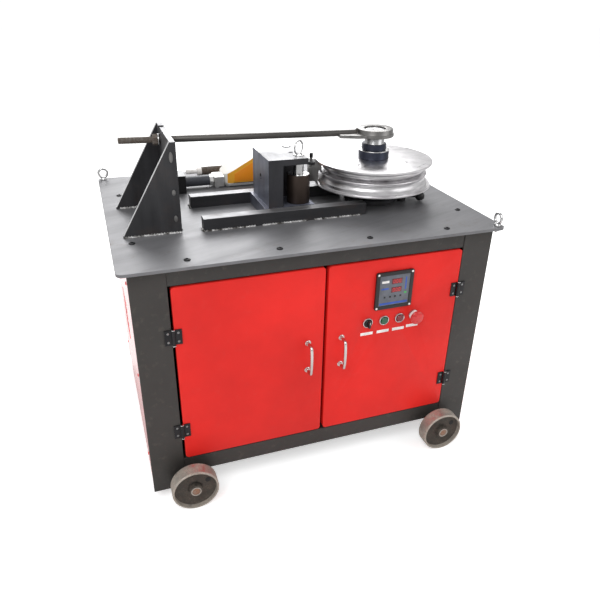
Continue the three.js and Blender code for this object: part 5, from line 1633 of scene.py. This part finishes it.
def build_stop_lever(settings):
    """The ball-knobbed lever, turning on a bright stub."""
    softened("stop_lever", finish("black"), 0.5 * MM, least_angle=50)
    low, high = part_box("stop_lever")
    stub_at = (low.x + 13 * MM, high.y - 13 * MM, high.z)
    stub = lathe(disc_profile(8 * MM, 0, 3 * MM, 0.8 * MM), stub_at, Z_AXIS, 24)
    finish_mesh("stop_lever_cap", stub, finish("bright"), "stop_lever")


# ---------------------------------------------------------------- stage

CAMERA_AT = (-0.541363, -1.66988, 1.310607)
CAMERA_TURN = (62.0814, -0.9468, -19.3399)
CAMERA_LENS = 35.784
AIM = Vector((0.1, 0, 0.5))
FLOOR_GLOW = 0.5  # a little light of its own where the camera sees the floor


def area_light(name, at, target, size, power, colour=(1, 1, 1)):
    data = bpy.data.lights.new(name, "AREA")
    data.shape = "DISK"
    data.size = size
    data.energy = power
    data.color = colour
    light = bpy.data.objects.new(name, data)
    bpy.context.scene.collection.objects.link(light)
    light.location = at
    light.rotation_euler = (Vector(target) - Vector(at)).to_track_quat("-Z", "Y").to_euler()
    return light


def build_stage(settings):
    scene = bpy.context.scene
    data = bpy.data.cameras.new("camera")
    data.lens = CAMERA_LENS
    data.sensor_width = 36
    data.clip_end = 50
    camera = bpy.data.objects.new("camera", data)
    scene.collection.objects.link(camera)
    camera.location = CAMERA_AT
    camera.rotation_euler = Euler([math.radians(a) for a in CAMERA_TURN], "XYZ")
    scene.camera = camera
    scene.view_settings.view_transform = "Standard"

    bm = bmesh.new()
    bmesh.ops.create_grid(bm, x_segments=1, y_segments=1, size=20)
    mesh = bpy.data.meshes.new("floor")
    bm.to_mesh(mesh)
    bm.free()
    floor = bpy.data.objects.new("floor", mesh)
    scene.collection.objects.link(floor)
    f = Finish("floor_pale", 0.0, 0.8)
    f.colour(f.mixed(f.noise(1.5, 3), (0.92, 0.92, 0.92), (0.95, 0.95, 0.95)))
    seen = f.nodes.new("ShaderNodeLightPath").outputs["Is Camera Ray"]
    f.shader.inputs["Emission Color"].default_value = (1, 1, 1, 1)
    f.links.new(f.maths("MULTIPLY", seen, FLOOR_GLOW), f.shader.inputs["Emission Strength"])
    mesh.materials.append(f.material)

    world = bpy.data.worlds.new("studio")
    world.use_nodes = True
    nodes, links = world.node_tree.nodes, world.node_tree.links
    ambient = nodes["Background"]
    ambient.inputs["Color"].default_value = (1, 1, 1, 1)
    ambient.inputs["Strength"].default_value = 0.55
    backdrop = nodes.new("ShaderNodeBackground")
    backdrop.inputs["Color"].default_value = (1, 1, 1, 1)
    backdrop.inputs["Strength"].default_value = 1.05
    path = nodes.new("ShaderNodeLightPath")
    mix = nodes.new("ShaderNodeMixShader")
    links.new(path.outputs["Is Camera Ray"], mix.inputs["Fac"])
    links.new(ambient.outputs["Background"], mix.inputs[1])
    links.new(backdrop.outputs["Background"], mix.inputs[2])
    links.new(mix.outputs["Shader"], nodes["World Output"].inputs["Surface"])
    scene.world = world
    area_light("key", (-1.6, -2.2, 3.2), AIM, 2.4, 60)
    area_light("fill", (2.4, -2.0, 2.2), AIM, 2.5, 20)
    area_light("back", (0.6, 2.8, 2.8), AIM, 3.0, 120)


# ---------------------------------------------------------------- operators


def build_operator(idname, label, builder, doc):
    """An operator class that runs one builder with the scene's settings."""

    def execute(self, context):
        builder(context.scene.bender)
        return {"FINISHED"}

    body = {
        "__doc__": doc,
        "bl_idname": f"bender.{idname}",
        "bl_label": label,
        "bl_options": {"REGISTER", "UNDO"},
        "execute": execute,
    }
    return type(f"BENDER_OT_{idname}", (Operator,), body)


STEPS = (
    ("finishes", "Finishes", make_finishes, "Makes every paint, metal and plastic"),
    ("stage", "Stage", build_stage, "Adds the floor, the lights and the camera"),
    ("cabinet", "Cabinet", build_cabinet, "Adds the legs, rails and sheet panels"),
    ("table", "Table", build_table, "Adds the steel table"),
    ("table_screws", "Table Screws", build_table_screws, "Adds the screws that hold the table"),
    ("doors", "Doors", build_doors, "Adds both folded doors and their seals"),
    ("handles", "Handles", build_handles, "Adds the bent chrome pulls"),
    ("hinges", "Hinges", build_hinges, "Adds the hinges' leaves, screws and pin ends"),
    ("controller", "Controller", build_controller, "Adds the angle controller"),
    ("switches", "Switches", build_switches, "Adds the bezels, caps and labels"),
    ("wheels", "Wheels", build_wheels, "Adds the cast wheels and their axles"),
    ("lifting_eyes", "Lifting Eyes", build_lifting_eyes, "Adds the two eye bolts"),
    ("spindle", "Spindle", build_spindle, "Adds the spindle, its collars and hub"),
    ("die", "Die", build_die, "Adds the grooved die"),
    ("clamp", "Clamp", build_clamp, "Adds the hook that grips the work"),
    ("drive", "Drive", build_drive, "Adds the gears, gearbox, motor and electrics"),
    ("bracket", "Bracket", build_bracket, "Adds the gussets, their plate and welds"),
    ("tie_rod", "Tie Rod", build_tie_rod, "Adds the tie rod, its eye, thread and nut"),
    ("guides", "Guides", build_guides, "Adds the guide rails and their beads"),
    ("roller_block", "Roller Block", build_roller_block, "Adds the block, roller and pin"),
    ("foot_switch", "Foot Switch", build_foot_switch, "Adds the foot switch and the loose pieces"),
    ("stop_lever", "Stop Lever", build_stop_lever, "Adds the small lever with the ball knob"),
)

OPERATORS = tuple(build_operator(*step) for step in STEPS)


class BENDER_PT_panel(Panel):
    """Lists the bender's settings and the pieces that can be added."""

    bl_label = "Rotary Bender"
    bl_idname = "BENDER_PT_panel"
    bl_space_type = "VIEW_3D"
    bl_region_type = "UI"
    bl_category = "Bender"

    def draw(self, context):
        column = self.layout.column()
        for name in BENDER_PG_settings.__annotations__:
            column.prop(context.scene.bender, name)
        for operator in OPERATORS:
            column.operator(operator.bl_idname)


CLASSES = (BENDER_PG_settings, *OPERATORS, BENDER_PT_panel)


def register():
    for cls in CLASSES:
        bpy.utils.register_class(cls)
    bpy.types.Scene.bender = PointerProperty(type=BENDER_PG_settings)


def unregister():
    del bpy.types.Scene.bender
    for cls in reversed(CLASSES):
        bpy.utils.unregister_class(cls)


def main():
    register()
    for idname, *_ in STEPS:
        getattr(bpy.ops.bender, idname)()


if __name__ == "__main__":
    main()
